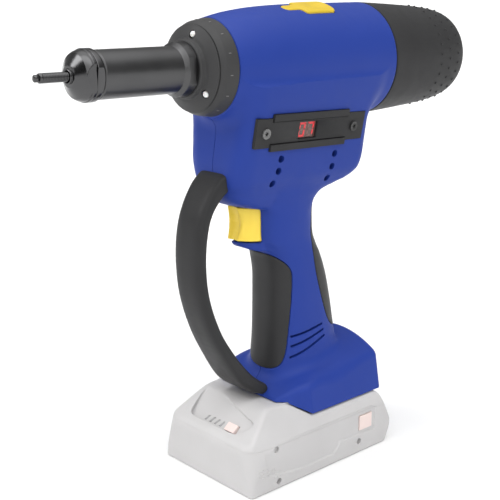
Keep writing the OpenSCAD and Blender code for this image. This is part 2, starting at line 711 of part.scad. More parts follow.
module charge_bars() {
  color([0.55, 0.55, 0.55]) on_slope() for (k = [0:3]) translate([-3.8 + 4.3 * k, -8.6, -3.1]) cube([1.4, 4, 0.8]);
}

module release(m) {
  box([29.6, min(m * 36.95, m * 39.2), 14.6], [40.4, max(m * 36.95, m * 39.2), 23.6]);
}
module release_button_left() { color([0.85, 0.45, 0.42]) release(-1); }
module release_button_right() { color([0.85, 0.45, 0.42]) release(1); }

module battery_cells() {
  color([0.25, 0.4, 0.35]) for (k = [-2:2]) translate([k * 21.8, 0, 13.2]) rotate([90, 0, 0]) cylinder(h = cell_l, r = cell_r, center = true);
}

module battery_board() {
  color([0.1, 0.35, 0.2]) box([-30, -24, 28], [44, 24, 29.6]);
}

module battery_contacts() {
  color([0.8, 0.6, 0.25]) for (y = [-12, -4, 4, 12]) for (m = [-1, 1]) box([24, y + m * 0.7 - 0.15, 29.65], [36, y + m * 0.7 + 0.15, 41.8]);
}

module battery_screws() {
  color([0.3, 0.3, 0.32]) for (x = [-40, 40]) for (y = [-20, 20]) translate([x, y, 0.3]) difference() {
    union() {
      cylinder(h = 0.65, r = 2.8);
      cylinder(h = 1.65, r = 1.5);
    }
    translate([0, 0, -0.1]) cylinder(h = 0.4, r = 1.4, $fn = 6);
  }
}

module terminal_block() {
  color([0.1, 0.1, 0.1]) {
    box([40.5, -14.5, 38.8], [46, 14.5, 51]);
    for (y = [-12, -4, 4, 12]) box([24, y - 0.4, 38.9], [40.5, y + 0.4, 41.6]);
  }
}

housing_left();
housing_right();
housing_screws();
nose_flange();
work_light_lenses();
work_light_board();
front_collar();
nose_tube();
lock_nut();
nosepiece();
threaded_mandrel();
pull_adapter();
ball_screw();
ball_nut();
thrust_bearing();
nut_bearing();
gear_case();
ring_gear();
sun_gear();
planet_gear_1();
planet_gear_2();
planet_gear_3();
planet_carrier();
motor_can();
motor_stator();
motor_windings();
motor_rotor();
motor_bearings();
cooling_fan();
rear_cap();
top_latch();
display_panel();
display_window();
panel_clips();
panel_screws();
display_board();
control_board();
trigger();
trigger_switch();
grip_front();
grip_rear();
hand_guard();
guard_screws();
battery_lower_shell();
battery_upper_shell();
charge_button();
charge_bars();
release_button_left();
release_button_right();
battery_cells();
battery_board();
battery_contacts();
battery_screws();
terminal_block();
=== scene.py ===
import math

import bmesh
import bpy
import numpy as np
from mathutils import Matrix, Vector


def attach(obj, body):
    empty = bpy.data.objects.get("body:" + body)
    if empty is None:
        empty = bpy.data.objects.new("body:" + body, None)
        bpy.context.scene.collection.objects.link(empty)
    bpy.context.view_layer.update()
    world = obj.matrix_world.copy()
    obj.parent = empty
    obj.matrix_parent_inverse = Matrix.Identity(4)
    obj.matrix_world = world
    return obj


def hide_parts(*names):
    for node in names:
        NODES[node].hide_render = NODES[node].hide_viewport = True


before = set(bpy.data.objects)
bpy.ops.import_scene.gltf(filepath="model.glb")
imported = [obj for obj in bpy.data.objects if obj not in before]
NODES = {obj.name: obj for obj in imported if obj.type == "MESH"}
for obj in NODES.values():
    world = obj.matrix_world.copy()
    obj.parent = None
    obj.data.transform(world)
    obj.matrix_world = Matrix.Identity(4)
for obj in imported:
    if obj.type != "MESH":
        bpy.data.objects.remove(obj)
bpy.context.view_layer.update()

MM = 0.001
AX = 234.5
LEAN = math.radians(10.4)
TILT = math.radians(-1.35)

# ------------------------------------------------------------------ small helpers


def smin(a, b, k):
    h = np.maximum(k - np.abs(a - b), 0.0) / k
    return np.minimum(a, b) - h * h * k * 0.25


def smax(a, b, k):
    return -smin(-a, -b, k)


def pchip(xs, ys):
    """Smooth curve through points that doesn't overshoot, and its slope."""
    xs, ys = np.asarray(xs, float), np.asarray(ys, float)
    order = np.argsort(xs)
    xs, ys = xs[order], ys[order]
    h = np.diff(xs)
    d = np.diff(ys) / h
    m = np.zeros(len(xs))
    for i in range(1, len(xs) - 1):
        if d[i - 1] * d[i] > 0:
            w1, w2 = 2 * h[i] + h[i - 1], h[i] + 2 * h[i - 1]
            m[i] = (w1 + w2) / (w1 / d[i - 1] + w2 / d[i])
    m[0], m[-1] = d[0], d[-1]
    t = np.linspace(xs[0], xs[-1], 1500)
    i = np.clip(np.searchsorted(xs, t) - 1, 0, len(h) - 1)
    u = (t - xs[i]) / h[i]
    v = (
        (1 + 2 * u) * (1 - u) ** 2 * ys[i]
        + u * (1 - u) ** 2 * h[i] * m[i]
        + u * u * (3 - 2 * u) * ys[i + 1]
        + u * u * (u - 1) * h[i] * m[i + 1]
    )
    g = np.gradient(v, t)
    return (lambda q: np.interp(q, t, v)), (lambda q: np.interp(q, t, g))


def box_d(x, y, z, lo, hi, r=0.0):
    c = [(a + b) / 2 for a, b in zip(lo, hi)]
    e = [(b - a) / 2 - r for a, b in zip(lo, hi)]
    qx, qy, qz = np.abs(x - c[0]) - e[0], np.abs(y - c[1]) - e[1], np.abs(z - c[2]) - e[2]
    out = np.sqrt(np.maximum(qx, 0) ** 2 + np.maximum(qy, 0) ** 2 + np.maximum(qz, 0) ** 2)
    return out + np.minimum(np.maximum(np.maximum(qx, qy), qz), 0) - r


def poly_d(pts, x, z):
    """Signed distance to a closed outline in the XZ plane, negative inside."""
    pts = np.asarray(pts, float)
    x, z = np.broadcast_arrays(x, z)
    best = np.full(x.shape, 1e9)
    inside = np.zeros(x.shape, bool)
    n = len(pts)
    for i in range(n):
        ax, az = pts[i]
        bx, bz = pts[(i + 1) % n]
        ex, ez = bx - ax, bz - az
        t = np.clip(((x - ax) * ex + (z - az) * ez) / (ex * ex + ez * ez), 0, 1)
        best = np.minimum(best, (x - ax - t * ex) ** 2 + (z - az - t * ez) ** 2)
        if ez != 0:
            cross = ((az > z) != (bz > z)) & (x < ex * (z - az) / ez + ax)
            inside ^= cross
    d = np.sqrt(best)
    return np.where(inside, -d, d)


def smooth_loop(pts, n=8):
    """Closed Catmull-Rom loop through points."""
    pts = np.asarray(pts, float)
    out = []
    m = len(pts)
    for i in range(m):
        p0, p1, p2, p3 = pts[i - 1], pts[i], pts[(i + 1) % m], pts[(i + 2) % m]
        for k in range(n):
            t = k / n
            out.append(0.5 * (2 * p1 + (p2 - p0) * t + (2 * p0 - 5 * p1 + 4 * p2 - p3) * t * t + (3 * p1 - p0 - 3 * p2 + p3) * t ** 3))
    return np.array(out)


def smooth_path(pts, n=8):
    """Open Catmull-Rom path through rows of any width."""
    pts = np.asarray(pts, float)
    ext = np.vstack([2 * pts[0] - pts[1], pts, 2 * pts[-1] - pts[-2]])
    out = []
    for i in range(1, len(ext) - 2):
        p0, p1, p2, p3 = ext[i - 1], ext[i], ext[i + 1], ext[i + 2]
        for k in range(n):
            t = k / n
            out.append(0.5 * (2 * p1 + (p2 - p0) * t + (2 * p0 - 5 * p1 + 4 * p2 - p3) * t * t + (3 * p1 - p0 - 3 * p2 + p3) * t ** 3))
    out.append(ext[-2])
    return np.array(out)


def add_object(name, verts, faces, sharp=32):
    """Mesh object from millimetre points."""
    me = bpy.data.meshes.new(name)
    verts = np.asarray(verts, float) * MM
    if isinstance(faces, np.ndarray):
        faces = faces.tolist()
    me.from_pydata(verts.tolist(), [], faces)
    me.validate()
    me.update()
    for p in me.polygons:
        p.use_smooth = True
    me.set_sharp_from_angle(angle=math.radians(sharp))
    ob = bpy.data.objects.new(name, me)
    bpy.context.scene.collection.objects.link(ob)
    return ob


def surface(name, f, lo, hi, h, sharp=32):
    """Dual contouring of f < 0: points at edges and corners are kept sharp."""
    ax = [np.arange(lo[i], hi[i] + h, h) for i in range(3)]
    nx, ny, nz = map(len, ax)
    vals = f(ax[0][:, None, None], ax[1][None, :, None], ax[2][None, None, :])
    vals = np.array(np.broadcast_to(vals, (nx, ny, nz)), float)
    vals[vals == 0] = 1e-9
    # the outer layer counts as outside, so the mesh closes
    for a in range(3):
        s = [slice(None)] * 3
        for e in (0, -1):
            s[a] = e
            vals[tuple(s)] = np.maximum(vals[tuple(s)], 1e-3)
    neg = vals < 0
    ids, pts, quads_dir = [], [], []
    base = np.array([ax[0][0], ax[1][0], ax[2][0]])
    cell = np.array([(ny - 1) * (nz - 1), nz - 1, 1])
    for a in range(3):
        b, c = (a + 1) % 3, (a + 2) % 3
        s0, s1 = [slice(None)] * 3, [slice(None)] * 3
        s0[a], s1[a] = slice(None, -1), slice(1, None)
        idx = np.argwhere(neg[tuple(s0)] != neg[tuple(s1)])
        if not len(idx):
            continue
        dims = [nx, ny, nz]
        ok = (idx[:, b] > 0) & (idx[:, b] < dims[b] - 1) & (idx[:, c] > 0) & (idx[:, c] < dims[c] - 1)
        idx = idx[ok]
        j = idx.copy()
        j[:, a] += 1
        va, vb = vals[tuple(idx.T)], vals[tuple(j.T)]
        p0 = base + idx * h
        ta, tb = np.zeros(len(idx)), np.ones(len(idx))
        fa, fb = va.copy(), vb.copy()
        for _ in range(4):
            t = np.clip(ta + (tb - ta) * fa / (fa - fb), ta, tb)
            q = p0.copy()
            q[:, a] += t * h
            ft = f(q[:, 0], q[:, 1], q[:, 2])
            same = (ft < 0) == (fa < 0)
            ta, fa = np.where(same, t, ta), np.where(same, ft, fa)
            tb, fb = np.where(same, tb, t), np.where(same, fb, ft)
        q = p0.copy()
        q[:, a] += t * h
        pts.append(q)
        eb, ec = np.eye(3, dtype=int)[b], np.eye(3, dtype=int)[c]
        four = np.stack([(idx - eb - ec) @ cell, (idx - ec) @ cell, idx @ cell, (idx - eb) @ cell], 1)
        flip = ~neg[tuple(idx.T)]
        four[flip] = four[flip][:, ::-1]
        ids.append(four)
    pts, ids = np.vstack(pts), np.vstack(ids)
    e = 0.02
    nrm = np.stack([
        f(pts[:, 0] + e, pts[:, 1], pts[:, 2]) - f(pts[:, 0] - e, pts[:, 1], pts[:, 2]),
        f(pts[:, 0], pts[:, 1] + e, pts[:, 2]) - f(pts[:, 0], pts[:, 1] - e, pts[:, 2]),
        f(pts[:, 0], pts[:, 1], pts[:, 2] + e) - f(pts[:, 0], pts[:, 1], pts[:, 2] - e)], 1)
    nrm /= np.maximum(np.linalg.norm(nrm, axis=1, keepdims=True), 1e-12)
    used, inv = np.unique(ids.ravel(), return_inverse=True)
    inv = inv.reshape(-1)
    n = len(used)
    rep = np.repeat(np.arange(len(pts)), 4)
    P, N = pts[rep], nrm[rep]

    def add(w):
        return np.bincount(inv, weights=w, minlength=n)

    cnt = np.bincount(inv, minlength=n).astype(float)
    cen = np.stack([add(P[:, i]) for i in range(3)], 1) / cnt[:, None]
    D = np.einsum("ij,ij->i", N, P - cen[inv])
    A = np.zeros((n, 3, 3))
    B = np.zeros((n, 3))
    for i in range(3):
        B[:, i] = add(N[:, i] * D)
        for k in range(i, 3):
            A[:, i, k] = add(N[:, i] * N[:, k])
            A[:, k, i] = A[:, i, k]
    A += np.eye(3)[None] * (0.03 * cnt)[:, None, None]
    off = np.linalg.solve(A, B[:, :, None])[:, :, 0]
    v = cen + off
    ci = np.stack([used // cell[0], (used // cell[1]) % (ny - 1), used % (nz - 1)], 1)
    lo_c = base + ci * h
    v = np.clip(v, lo_c - 0.05 * h, lo_c + 1.05 * h)
    return add_object(name, v, inv.reshape(-1, 4), sharp)


def round_profile(pts, n=5):
    """Profile of (x, r) or (x, r, fillet) points with its corners rounded."""
    out = []
    for i, p in enumerate(pts):
        f = p[2] if len(p) > 2 else 0
        if f <= 0 or i in (0, len(pts) - 1):
            out.append((p[0], p[1]))
            continue
        a, b, c = np.array(pts[i - 1][:2], float), np.array(p[:2], float), np.array(pts[i + 1][:2], float)
        u, w = (a - b), (c - b)
        lu, lw = np.linalg.norm(u), np.linalg.norm(w)
        u, w = u / lu, w / lw
        ang = math.acos(max(-1, min(1, float(u @ w))))
        if ang > math.pi - 0.02:
            out.append((p[0], p[1]))
            continue
        cut = min(f / math.tan(ang / 2), lu * 0.49, lw * 0.49)
        s, t = b + u * cut, b + w * cut
        r = cut * math.tan(ang / 2)
        mid = (u + w) / np.linalg.norm(u + w)
        o = b + mid * r / math.sin(ang / 2)
        a0, a1 = math.atan2(*(s - o)[::-1]), math.atan2(*(t - o)[::-1])
        da = (a1 - a0 + math.pi) % (2 * math.pi) - math.pi
        for k in range(n + 1):
            g = a0 + da * k / n
            out.append((o[0] + r * math.cos(g), o[1] + r * math.sin(g)))
    return out


def lathe(name, prof, seg=128, rfun=None, sharp=28, y=0.0, z=AX):
    """Turned shape about the barrel axis. rfun(x, theta, r) can cut flats."""
    th = np.arange(seg) * 2 * np.pi / seg
    verts, faces, rings = [], [], []
    for x, r in prof:
        if r < 1e-6:
            rings.append([len(verts)])
            verts.append((x, y, z))
            continue
        rr = np.full(seg, float(r))
        xx = np.full(seg, float(x))
        if rfun is not None:
            rr = rfun(xx, th, rr)
        rings.append(list(range(len(verts), len(verts) + seg)))
        for k in range(seg):
            verts.append((x, y + rr[k] * math.cos(th[k]), z + rr[k] * math.sin(th[k])))
    for a, b in zip(rings[:-1], rings[1:]):
        for k in range(seg):
            k2 = (k + 1) % seg
            if len(a) == 1 and len(b) == 1:
                continue
            if len(a) == 1:
                faces.append((a[0], b[k2], b[k]))
            elif len(b) == 1:
                faces.append((a[k], a[k2], b[0]))
            else:
                faces.append((a[k], a[k2], b[k2], b[k]))
    ob = add_object(name, verts, faces, sharp)
    fix_normals(ob)
    return ob


def fix_normals(ob):
    bm = bmesh.new()
    bm.from_mesh(ob.data)
    bmesh.ops.recalc_face_normals(bm, faces=bm.faces[:])
    bm.to_mesh(ob.data)
    bm.free()
    ob.data.update()


def join(name, obs):
    """One object from several meshes that share a material order."""
    bm = bmesh.new()
    for o in obs:
        bm.from_mesh(o.data)
    me = bpy.data.meshes.new(name)
    bm.to_mesh(me)
    bm.free()
    ob = bpy.data.objects.new(name, me)
    bpy.context.scene.collection.objects.link(ob)
    for o in obs:
        m = o.data
        bpy.data.objects.remove(o)
        bpy.data.meshes.remove(m)
    return ob


def solid_from(name, build, bevel=0.0, segs=3, sharp=32):
    """Object from a bmesh function working in millimetres, with rounded edges."""
    bm = bmesh.new()
    build(bm)
    if bevel > 0:
        bmesh.ops.bevel(bm, geom=[e for e in bm.edges if e.is_manifold and e.calc_face_angle(0) > 0.5],
                        offset=bevel, segments=segs, profile=0.5, affect="EDGES", clamp_overlap=True)
    bmesh.ops.recalc_face_normals(bm, faces=bm.faces[:])
    bmesh.ops.scale(bm, vec=(MM, MM, MM), verts=bm.verts[:])
    me = bpy.data.meshes.new(name)
    bm.to_mesh(me)
    bm.free()
    for p in me.polygons:
        p.use_smooth = True
    me.set_sharp_from_angle(angle=math.radians(sharp))
    ob = bpy.data.objects.new(name, me)
    bpy.context.scene.collection.objects.link(ob)
    return ob


def prism(bm, outline, h0, h1, M=None):
    """Extruded outline of (x, y) points between heights, put in place by M."""
    M = M or Matrix.Identity(4)
    lo = [bm.verts.new(M @ Vector((p[0], p[1], h0))) for p in outline]
    hi = [bm.verts.new(M @ Vector((p[0], p[1], h1))) for p in outline]
    bm.faces.new(lo[::-1])
    bm.faces.new(hi)
    n = len(outline)
    for i in range(n):
        bm.faces.new((lo[i], lo[(i + 1) % n], hi[(i + 1) % n], hi[i]))


def rect(x0, y0, x1, y1):
    return [(x0, y0), (x1, y0), (x1, y1), (x0, y1)]


def ngon(r, n, cx=0.0, cy=0.0, turn=0.0):
    return [(cx + r * math.cos(turn + 2 * math.pi * k / n), cy + r * math.sin(turn + 2 * math.pi * k / n)) for k in range(n)]


# ------------------------------------------------------------------ shapes shared by several pieces

R_BAR, DR_BAR = pchip([-60, -55.2, -48, -40, -20, 0, 30, 65], [25.0, 25.9, 27.5, 28.95, 31.05, 31.95, 32.45, 32.85])
W_BLK, DW_BLK = pchip([150, 158, 162, 165.5, 168, 171, 174, 178.5, 185.5, 191, 200, 209, 216, 226], [12.5, 14.6, 16.2, 17.2, 18.4, 20.2, 21.5, 22.6, 23.8, 24.6, 26.0, 27.6, 28.7, 29.8])
F_BLK, DF_BLK = pchip([150, 158, 161.2, 165.5, 172, 182, 194, 207, 226], [-40, -44.6, -47.6, -50.4, -52.1, -52.5, -50.9, -49.0, -47.8])
B_BLK, DB_BLK = pchip([150, 158, 161, 163, 164.5, 167, 170, 173, 176, 180, 186, 226], [4, 10, 17, 24, 30, 38, 42.3, 44.6, 45.6, 46.4, 46.8, 46.8])

HS = np.array([
    [44, -17, 44, 24], [54, -16.6, 41, 22.5], [64, -16, 38, 21], [78, -15.5, 35, 19.6], [94, -15.3, 31.8, 19], [110, -15.2, 27.7, 18.5], [124, -17.2, 22.3, 18],
    [131, -21.0, 18.9, 17.4], [136.5, -25.8, 17.2, 17], [142, -26.5, 16.6, 16.9], [150, -26.7, 16.4, 16.8], [160, -27.4, 17.0, 16.8], [174, -31, 20, 17.0]])
H_F = pchip(HS[:, 0], HS[:, 1])[0]
H_R = pchip(HS[:, 0], HS[:, 2])[0]
H_W = pchip(HS[:, 0], HS[:, 3])[0]

T_FOOT = pchip([-34, -27, -22, -17.5, -8, 0, 20, 40, 56], [41.5, 46.2, 49.6, 52.2, 56.8, 59.8, 63.9, 67.1, 68.4])[0]
S_FOOT = pchip([-40, -27, -22, -8, 15, 60], [0.15, 0.15, 0.2, 0.4, 0.9, 1.0])[0]


def trig_half(x):
    """Half width of the trigger: straight at the housing, tapering to the finger face."""
    return np.interp(x, [-44, -38.6, -35.5, -31, -25.5, -14], [0.6, 4.0, 6.0, 7.7, 8.5, 8.5])


def barrel_d(x, y, z):
    d = np.sqrt(y * y + (z - AX) ** 2) - R_BAR(x)
    d = d / np.sqrt(1 + DR_BAR(x) ** 2)
    return smax(smax(d, -55.05 - x, 0.8), x - 60.05, 1.2)


def block_d(x, y, z):
    side = (np.abs(y) - W_BLK(z)) / np.sqrt(1 + DW_BLK(z) ** 2)
    front = (F_BLK(z) - x) / np.sqrt(1 + DF_BLK(z) ** 2)
    rear = (x - B_BLK(z)) / np.sqrt(1 + DB_BLK(z) ** 2)
    k = np.interp(z, [163, 186], [6.0, 8.2])
    d = np.maximum(smax(front, side, 12), smax(rear, side, k))
    under = (159.7 - 0.2 * (x + 46) - z) / 1.02
    d = smax(d, under, 3.0)
    return np.maximum(d, z - 224)


def handle_d(x, y, z, inset=0.0, n=2.6):
    f, r, w = H_F(z) + inset, H_R(z) - inset, H_W(z) - inset
    a, c = (r - f) / 2, (r + f) / 2
    u, v = np.abs(x - c) / a, np.abs(y) / w
    q = (u ** n + v ** n) ** (1 / n)
    q = np.maximum(q, 1e-6)
    g = np.sqrt((u ** (n - 1) / a) ** 2 + (v ** (n - 1) / w) ** 2) * q ** (1 - n)
    d = (q - 1) / np.maximum(g, 1e-3)
    d = np.where(q < 0.3, -0.7 * np.minimum(a, w), d)
    return np.maximum(d, np.maximum(z - 176, 45 - z))


def foot_d(x, y, z):
    lean = 0.17 * np.maximum(z - 36.1, 0)
    ay = np.abs(y) + lean
    low = np.minimum(44.55 - z, np.maximum(36.1 - z, (36.1 + 0.6 * (-8.5 - x) - z) / 1.166))
    front = np.maximum(-27 - x, ((ay - 24.9) - (x + 27)) / 1.414)
    side = np.maximum(ay - 36.1, (-6.6 * (x + 22.5) + 14 * (ay - 29.4)) / 15.48)
    rear = x - (52.9 - (z - 36) * 0.02 - 0.0012 * y * y)
    w = np.interp(x, [20, 51], [1.0, 0.0])
    drop = w * (0.0046 * y * y + 5.0e-9 * y ** 6) + (1 - w) * 0.0091 * y * y
    top = (z - (T_FOOT(x) - S_FOOT(x) * drop)) / 1.14
    d = smax(rear, side, 2.4)
    d = smax(d, top, 2.6)
    d = smax(d, front, 1.0)
    return smax(d, low, 0.5)


LIP = [(-38.6, 137.6), (-38.4, 136.8), (-35, 134.5), (-31.5, 132.9), (-27, 131.4), (-20, 130.4), (-14, 130.4), (-14, 134.6)]


def lip_d(x, y, z):
    """Ledge of the housing under the trigger."""
    return smax(poly_d(LIP, x, z), np.abs(y) - np.interp(x, [-39, -37, -34, -30, -25, -14], [0.4, 2.4, 4.8, 7.6, 9.6, 10.5]), 1.4)


def blue_d(x, y, z):
    d = smin(barrel_d(x, y, z), block_d(x, y, z), 9)
    d = smin(d, handle_d(x, y, z), np.interp(x, [-26, -4], [1.6, 7.0]))
    d = smin(d, lip_d(x, y, z), 2.5)
    return smin(d, foot_d(x, y, z), 5)


GRIP_F = smooth_loop([(-60, 129.8), (-40, 129.8), (-25, 129.6), (-19.6, 128.7), (-16.2, 127), (-12.5, 124.2), (-9.4, 121), (-7.4, 117.2), (-6.8, 112.3), (-7, 104), (-8, 88), (-9.7, 71.5),
                      (-11.1, 65), (-12.6, 61), (-15, 57.9), (-18, 56), (-24, 55.3), (-60, 55.3)], 5)
GRIP_R = smooth_loop([(70, 155.5), (30, 155.5), (13, 155), (9.9, 151.5), (9.0, 143.5), (8.8, 135.5), (8.5, 127.5), (10.2, 115.1), (14.2, 100.9), (18.6, 88.3), (22, 82), (26, 78.2), (32, 76), (45, 75), (70, 75)], 5)



def barrel_room(x, y, z):
    """Hollow of the barrel and its front opening."""
    r = np.sqrt(y * y + (z - AX) ** 2)
    big = np.maximum(np.maximum(r - (R_BAR(x) - 3.0), x - 70), -50.2 - x)
    small = np.maximum(r - 20.4, x + 45)
    return np.minimum(big, small)


def trigger_room(x, y, z):
    s = 0.12 * (x + 38.5)
    up = z - (158.05 - s)
    dn = (137.85 - s) - z
    return np.maximum(np.maximum(up, dn), np.maximum(np.abs(y) - 8.85, x + 5))


def pack_room(x, y, z):
    a = box_d(x, y, z, (-60, -28.5, 38.2), (49, 28.5, 44.5))
    b = box_d(x, y, z, (-60, -22.4, 20), (49, 22.4, 38.4))
    c = box_d(x, y, z, (-4, -15, 44), (46, 15, 51.4))
    return np.minimum(np.minimum(a, b), c)


PHI = math.radians(17.5)


def latch_tn(y, z):
    """Coordinates of the top slider: round the barrel towards -Y, and outwards."""
    c, s = math.cos(PHI), math.sin(PHI)
    return -y * c - (z - AX) * s, -y * s + (z - AX) * c


def latch_outline(x, t, g):
    """Plan shape of the top slider: narrow tail, wide pad."""
    w = 3.5 + 4.6 / (1 + np.exp(-(x - 0.9) / 0.45))
    qx, qy = np.abs(x - 7.3) - (17.2 - 3.0), np.abs(t) - (w - 3.0)
    r = np.sqrt(np.maximum(qx, 0) ** 2 + np.maximum(qy, 0) ** 2) + np.minimum(np.maximum(qx, qy), 0) - 3.0
    return r - g


VENTS = [(-23.8, 185.4), (-24.7, 178.7), (-27.3, 171.8), (18.6, 184.0), (18.1, 176.5), (17.0, 169.6)]
SLOTS = [((-7.2, 77.9), (15.0, 81.5)), ((-7.3, 72.0), (16.0, 77.8)), ((-8.1, 65.4), (16.8, 73.9))]
SCREWS = [(-41.5, 186, 15), (33, 186, 15), (10.5, 160.5, 9), (6, 104, 11), (44, 58, 20)]


def capsule_xz(x, z, a, b, r):
    ex, ez = b[0] - a[0], b[1] - a[1]
    t = np.clip(((x - a[0]) * ex + (z - a[1]) * ez) / (ex * ex + ez * ez), 0, 1)
    return np.sqrt((x - a[0] - t * ex) ** 2 + (z - a[1] - t * ez) ** 2) - r


def side_uvn(x, y, z):
    """Coordinates on the leaning left side: along, up the face, outwards."""
    y0, z0 = -25.85, 200.0
    c, s = math.cos(LEAN), math.sin(LEAN)
    u, v, n = x + 3, -(y - y0) * s + (z - z0) * c, -(y - y0) * c - (z - z0) * s
    c, s = math.cos(TILT), math.sin(TILT)
    return c * u + s * v - 3, -s * u + c * v, n


def housing(side):
    def f(x, y, z):
        outer = blue_d(x, y, z)
        d = np.maximum(outer, -barrel_room(x, y, z))
        d = np.maximum(d, -trigger_room(x, y, z))
        d = np.maximum(d, -pack_room(x, y, z))
        # beds of the soft grips
        core = handle_d(x, y, z)
        bed_f = np.maximum(poly_d(GRIP_F, x, z), -(core + 2.1))
        bed_r = np.maximum(poly_d(GRIP_R, x, z), -(core + 2.1))
        d = np.maximum(d, -np.minimum(bed_f, bed_r))
        # vents
        ay = np.abs(y)
        for vx, vz in VENTS:
            d = np.maximum(d, -np.maximum(np.sqrt((x - vx) ** 2 + (z - vz) ** 2) - 2.05, 12 - ay))
        for a, b in SLOTS:
            d = np.maximum(d, -np.maximum(capsule_xz(x, z, a, b, 0.75), -(outer + 2.4)))
        # pocket of the top slider
        t, n = latch_tn(y, z)
        d = np.maximum(d, -np.maximum(latch_outline(x, t, 0.3), 15.5 - n))
        if side < 0:
            u, v, n = side_uvn(x, y, z)
            bed = np.minimum(np.maximum(np.abs(u + 3) - 42.2, np.abs(v) - 8.2), np.maximum(np.abs(u + 4.7) - 29.4, np.abs(v) - 10.3))
            d = np.maximum(d, -np.maximum(bed, np.maximum(-1.5 - n, n - 12)))
            d = np.maximum(d, y + 0.14)
        else:
            for sx, sz, sy in SCREWS:
                d = np.maximum(d, -np.maximum(np.sqrt((x - sx) ** 2 + (z - sz) ** 2) - 3.6, sy - y))
            d = np.maximum(d, 0.14 - y)
        return d

    y0, y1 = (-40.6, 0.9) if side < 0 else (-0.9, 40.6)
    return surface("shell_left" if side < 0 else "shell_right", f, (-57.5, y0, 34), (62, y1, 269.5), 0.85)


def grip(name, outline, lo, hi):
    def f(x, y, z):
        skin = np.maximum(blue_d(x, y, z) - 0.15, -(handle_d(x, y, z) + 2.0))
        return smax(skin, poly_d(outline, x, z) + 0.28, 0.9)

    return surface(name, f, lo, hi, 0.7)


GUARD = smooth_path([
    [-47, 175.6, 11.4, 5.2], [-51.5, 173.2, 11.3, 5.2], [-55.5, 170, 11.1, 4.9], [-59.2, 165.8, 11, 4.5], [-62.4, 161.2, 11, 4.2], [-65, 156, 11, 4], [-67, 149, 11, 4],
    [-68.3, 140, 11, 4], [-68.6, 130, 11, 4], [-67.8, 119, 11, 4], [-65.8, 108.5, 11, 4], [-62, 97, 11.1, 4], [-57.2, 86, 11.4, 4], [-51.2, 75.8, 12, 4.2], [-44.6, 66, 12.6, 4.5],
    [-38, 57.6, 13.2, 4.7], [-31.6, 52.2, 13.7, 4.4], [-26.2, 49.3, 13.9, 3.6]], 3)


def guard_d(x, y, z):
    x, z = np.broadcast_arrays(np.asarray(x, float), np.asarray(z, float))
    best = np.full(x.shape, 1e9)
    w = np.zeros(x.shape)
    t = np.zeros(x.shape)
    for a, b in zip(GUARD[:-1], GUARD[1:]):
        ex, ez = b[0] - a[0], b[1] - a[1]
        k = np.clip(((x - a[0]) * ex + (z - a[1]) * ez) / (ex * ex + ez * ez), 0, 1)
        d = (x - a[0] - k * ex) ** 2 + (z - a[1] - k * ez) ** 2
        m = d < best
        best = np.where(m, d, best)
        w = np.where(m, a[2] + k * (b[2] - a[2]), w)
        t = np.where(m, a[3] + k * (b[3] - a[3]), t)
    s = np.sqrt(best)
    n = np.interp(z, [56, 70, 120, 160, 172], [5.0, 3.6, 3.0, 3.4, 5.0])
    u, v = s / t, np.abs(y) / w
    q = np.maximum((u ** n + v ** n) ** (1 / n), 1e-6)
    g = np.sqrt((u ** (n - 1) / t) ** 2 + (v ** (n - 1) / w) ** 2) * q ** (1 - n)
    return np.where(q < 0.3, -0.6 * t, (q - 1) / np.maximum(g, 1e-3))


def guard_piece():
    return surface("guard_bow", guard_d, (-75, -18.5, 44), (-20, 18.5, 184), 0.8)


TRIG = [(-38.7, 157.52), (-38.0, 155.4), (-37.1, 152.8), (-36.5, 150.2), (-36.25, 147.8), (-36.5, 145.4), (-37.1, 142.8), (-38.0, 140.3), (-38.7, 138.42), (-14, 135.46), (-14, 154.56)]


def trigger_piece():
    def f(x, y, z):
        d = smax(poly_d(TRIG, x, z), np.abs(y) - trig_half(x), 0.8)
        # finger face hollow across, with a crease at each side
        face = np.interp(z, [138.4, 142.8, 147.9, 152.8, 157.5], [-38.7, -37.1, -36.25, -37.1, -38.7])
        scoop = 5.6 - np.sqrt((x - face + 4.0) ** 2 + y * y)
        return smax(d, scoop, 0.5)

    return surface("trigger_body", f, (-40.5, -9.6, 133.5), (-13, 9.6, 159.5), 0.42)


def latch_piece():
    def f(x, y, z):
        t, n = latch_tn(y, z)
        r = np.sqrt(y * y + (z - AX) ** 2)
        top = r - (R_BAR(x) + np.interp(x, [-12, -2, 3, 28], [0.3, 0.45, 1.0, 1.15]))
        dish = 24 - np.sqrt((x - 14.5) ** 2 + (t * 1.15) ** 2 + (n - 56.1) ** 2)
        top = smax(top, dish, 0.8)
        d = smax(top, latch_outline(x, t, 0.0), 1.1)
        return np.maximum(d, 29.6 - r)

    return surface("latch_pad", f, (-12.8, -21.5, 257), (28.8, 1.6, 269.6), 0.4)


# ------------------------------------------------------------------ battery pack


def pack_outline_d(x, y, r, inset=0.0):
    qx, qy = np.abs(x) - (59.1 - r - inset), np.abs(y) - (38.95 - r - inset)
    return np.sqrt(np.maximum(qx, 0) ** 2 + np.maximum(qy, 0) ** 2) + np.minimum(np.maximum(qx, qy), 0) - r


SLOPE = math.radians(38.5)


def slope_uvn(x, y, z):
    """Coordinates on the pack's sloped front: across towards -Y, up the slope, outwards."""
    c, s = math.cos(SLOPE), math.sin(SLOPE)
    return -y, (x + 46) * c + (z - 37.05) * s, -(x + 46) * s + (z - 37.05) * c


RECESS = smooth_loop([(-23.2, 10.5), (-23.8, 1), (-22.0, -8.2), (-15, -9.9), (5.4, -9.9), (19.5, -8.9), (25.6, -0.2), (18, 2.6), (6, 5.5), (-8, 9.5), (-17, 12)], 5)
BARS = (-9.8, -5.5, -1.2, 3.1)


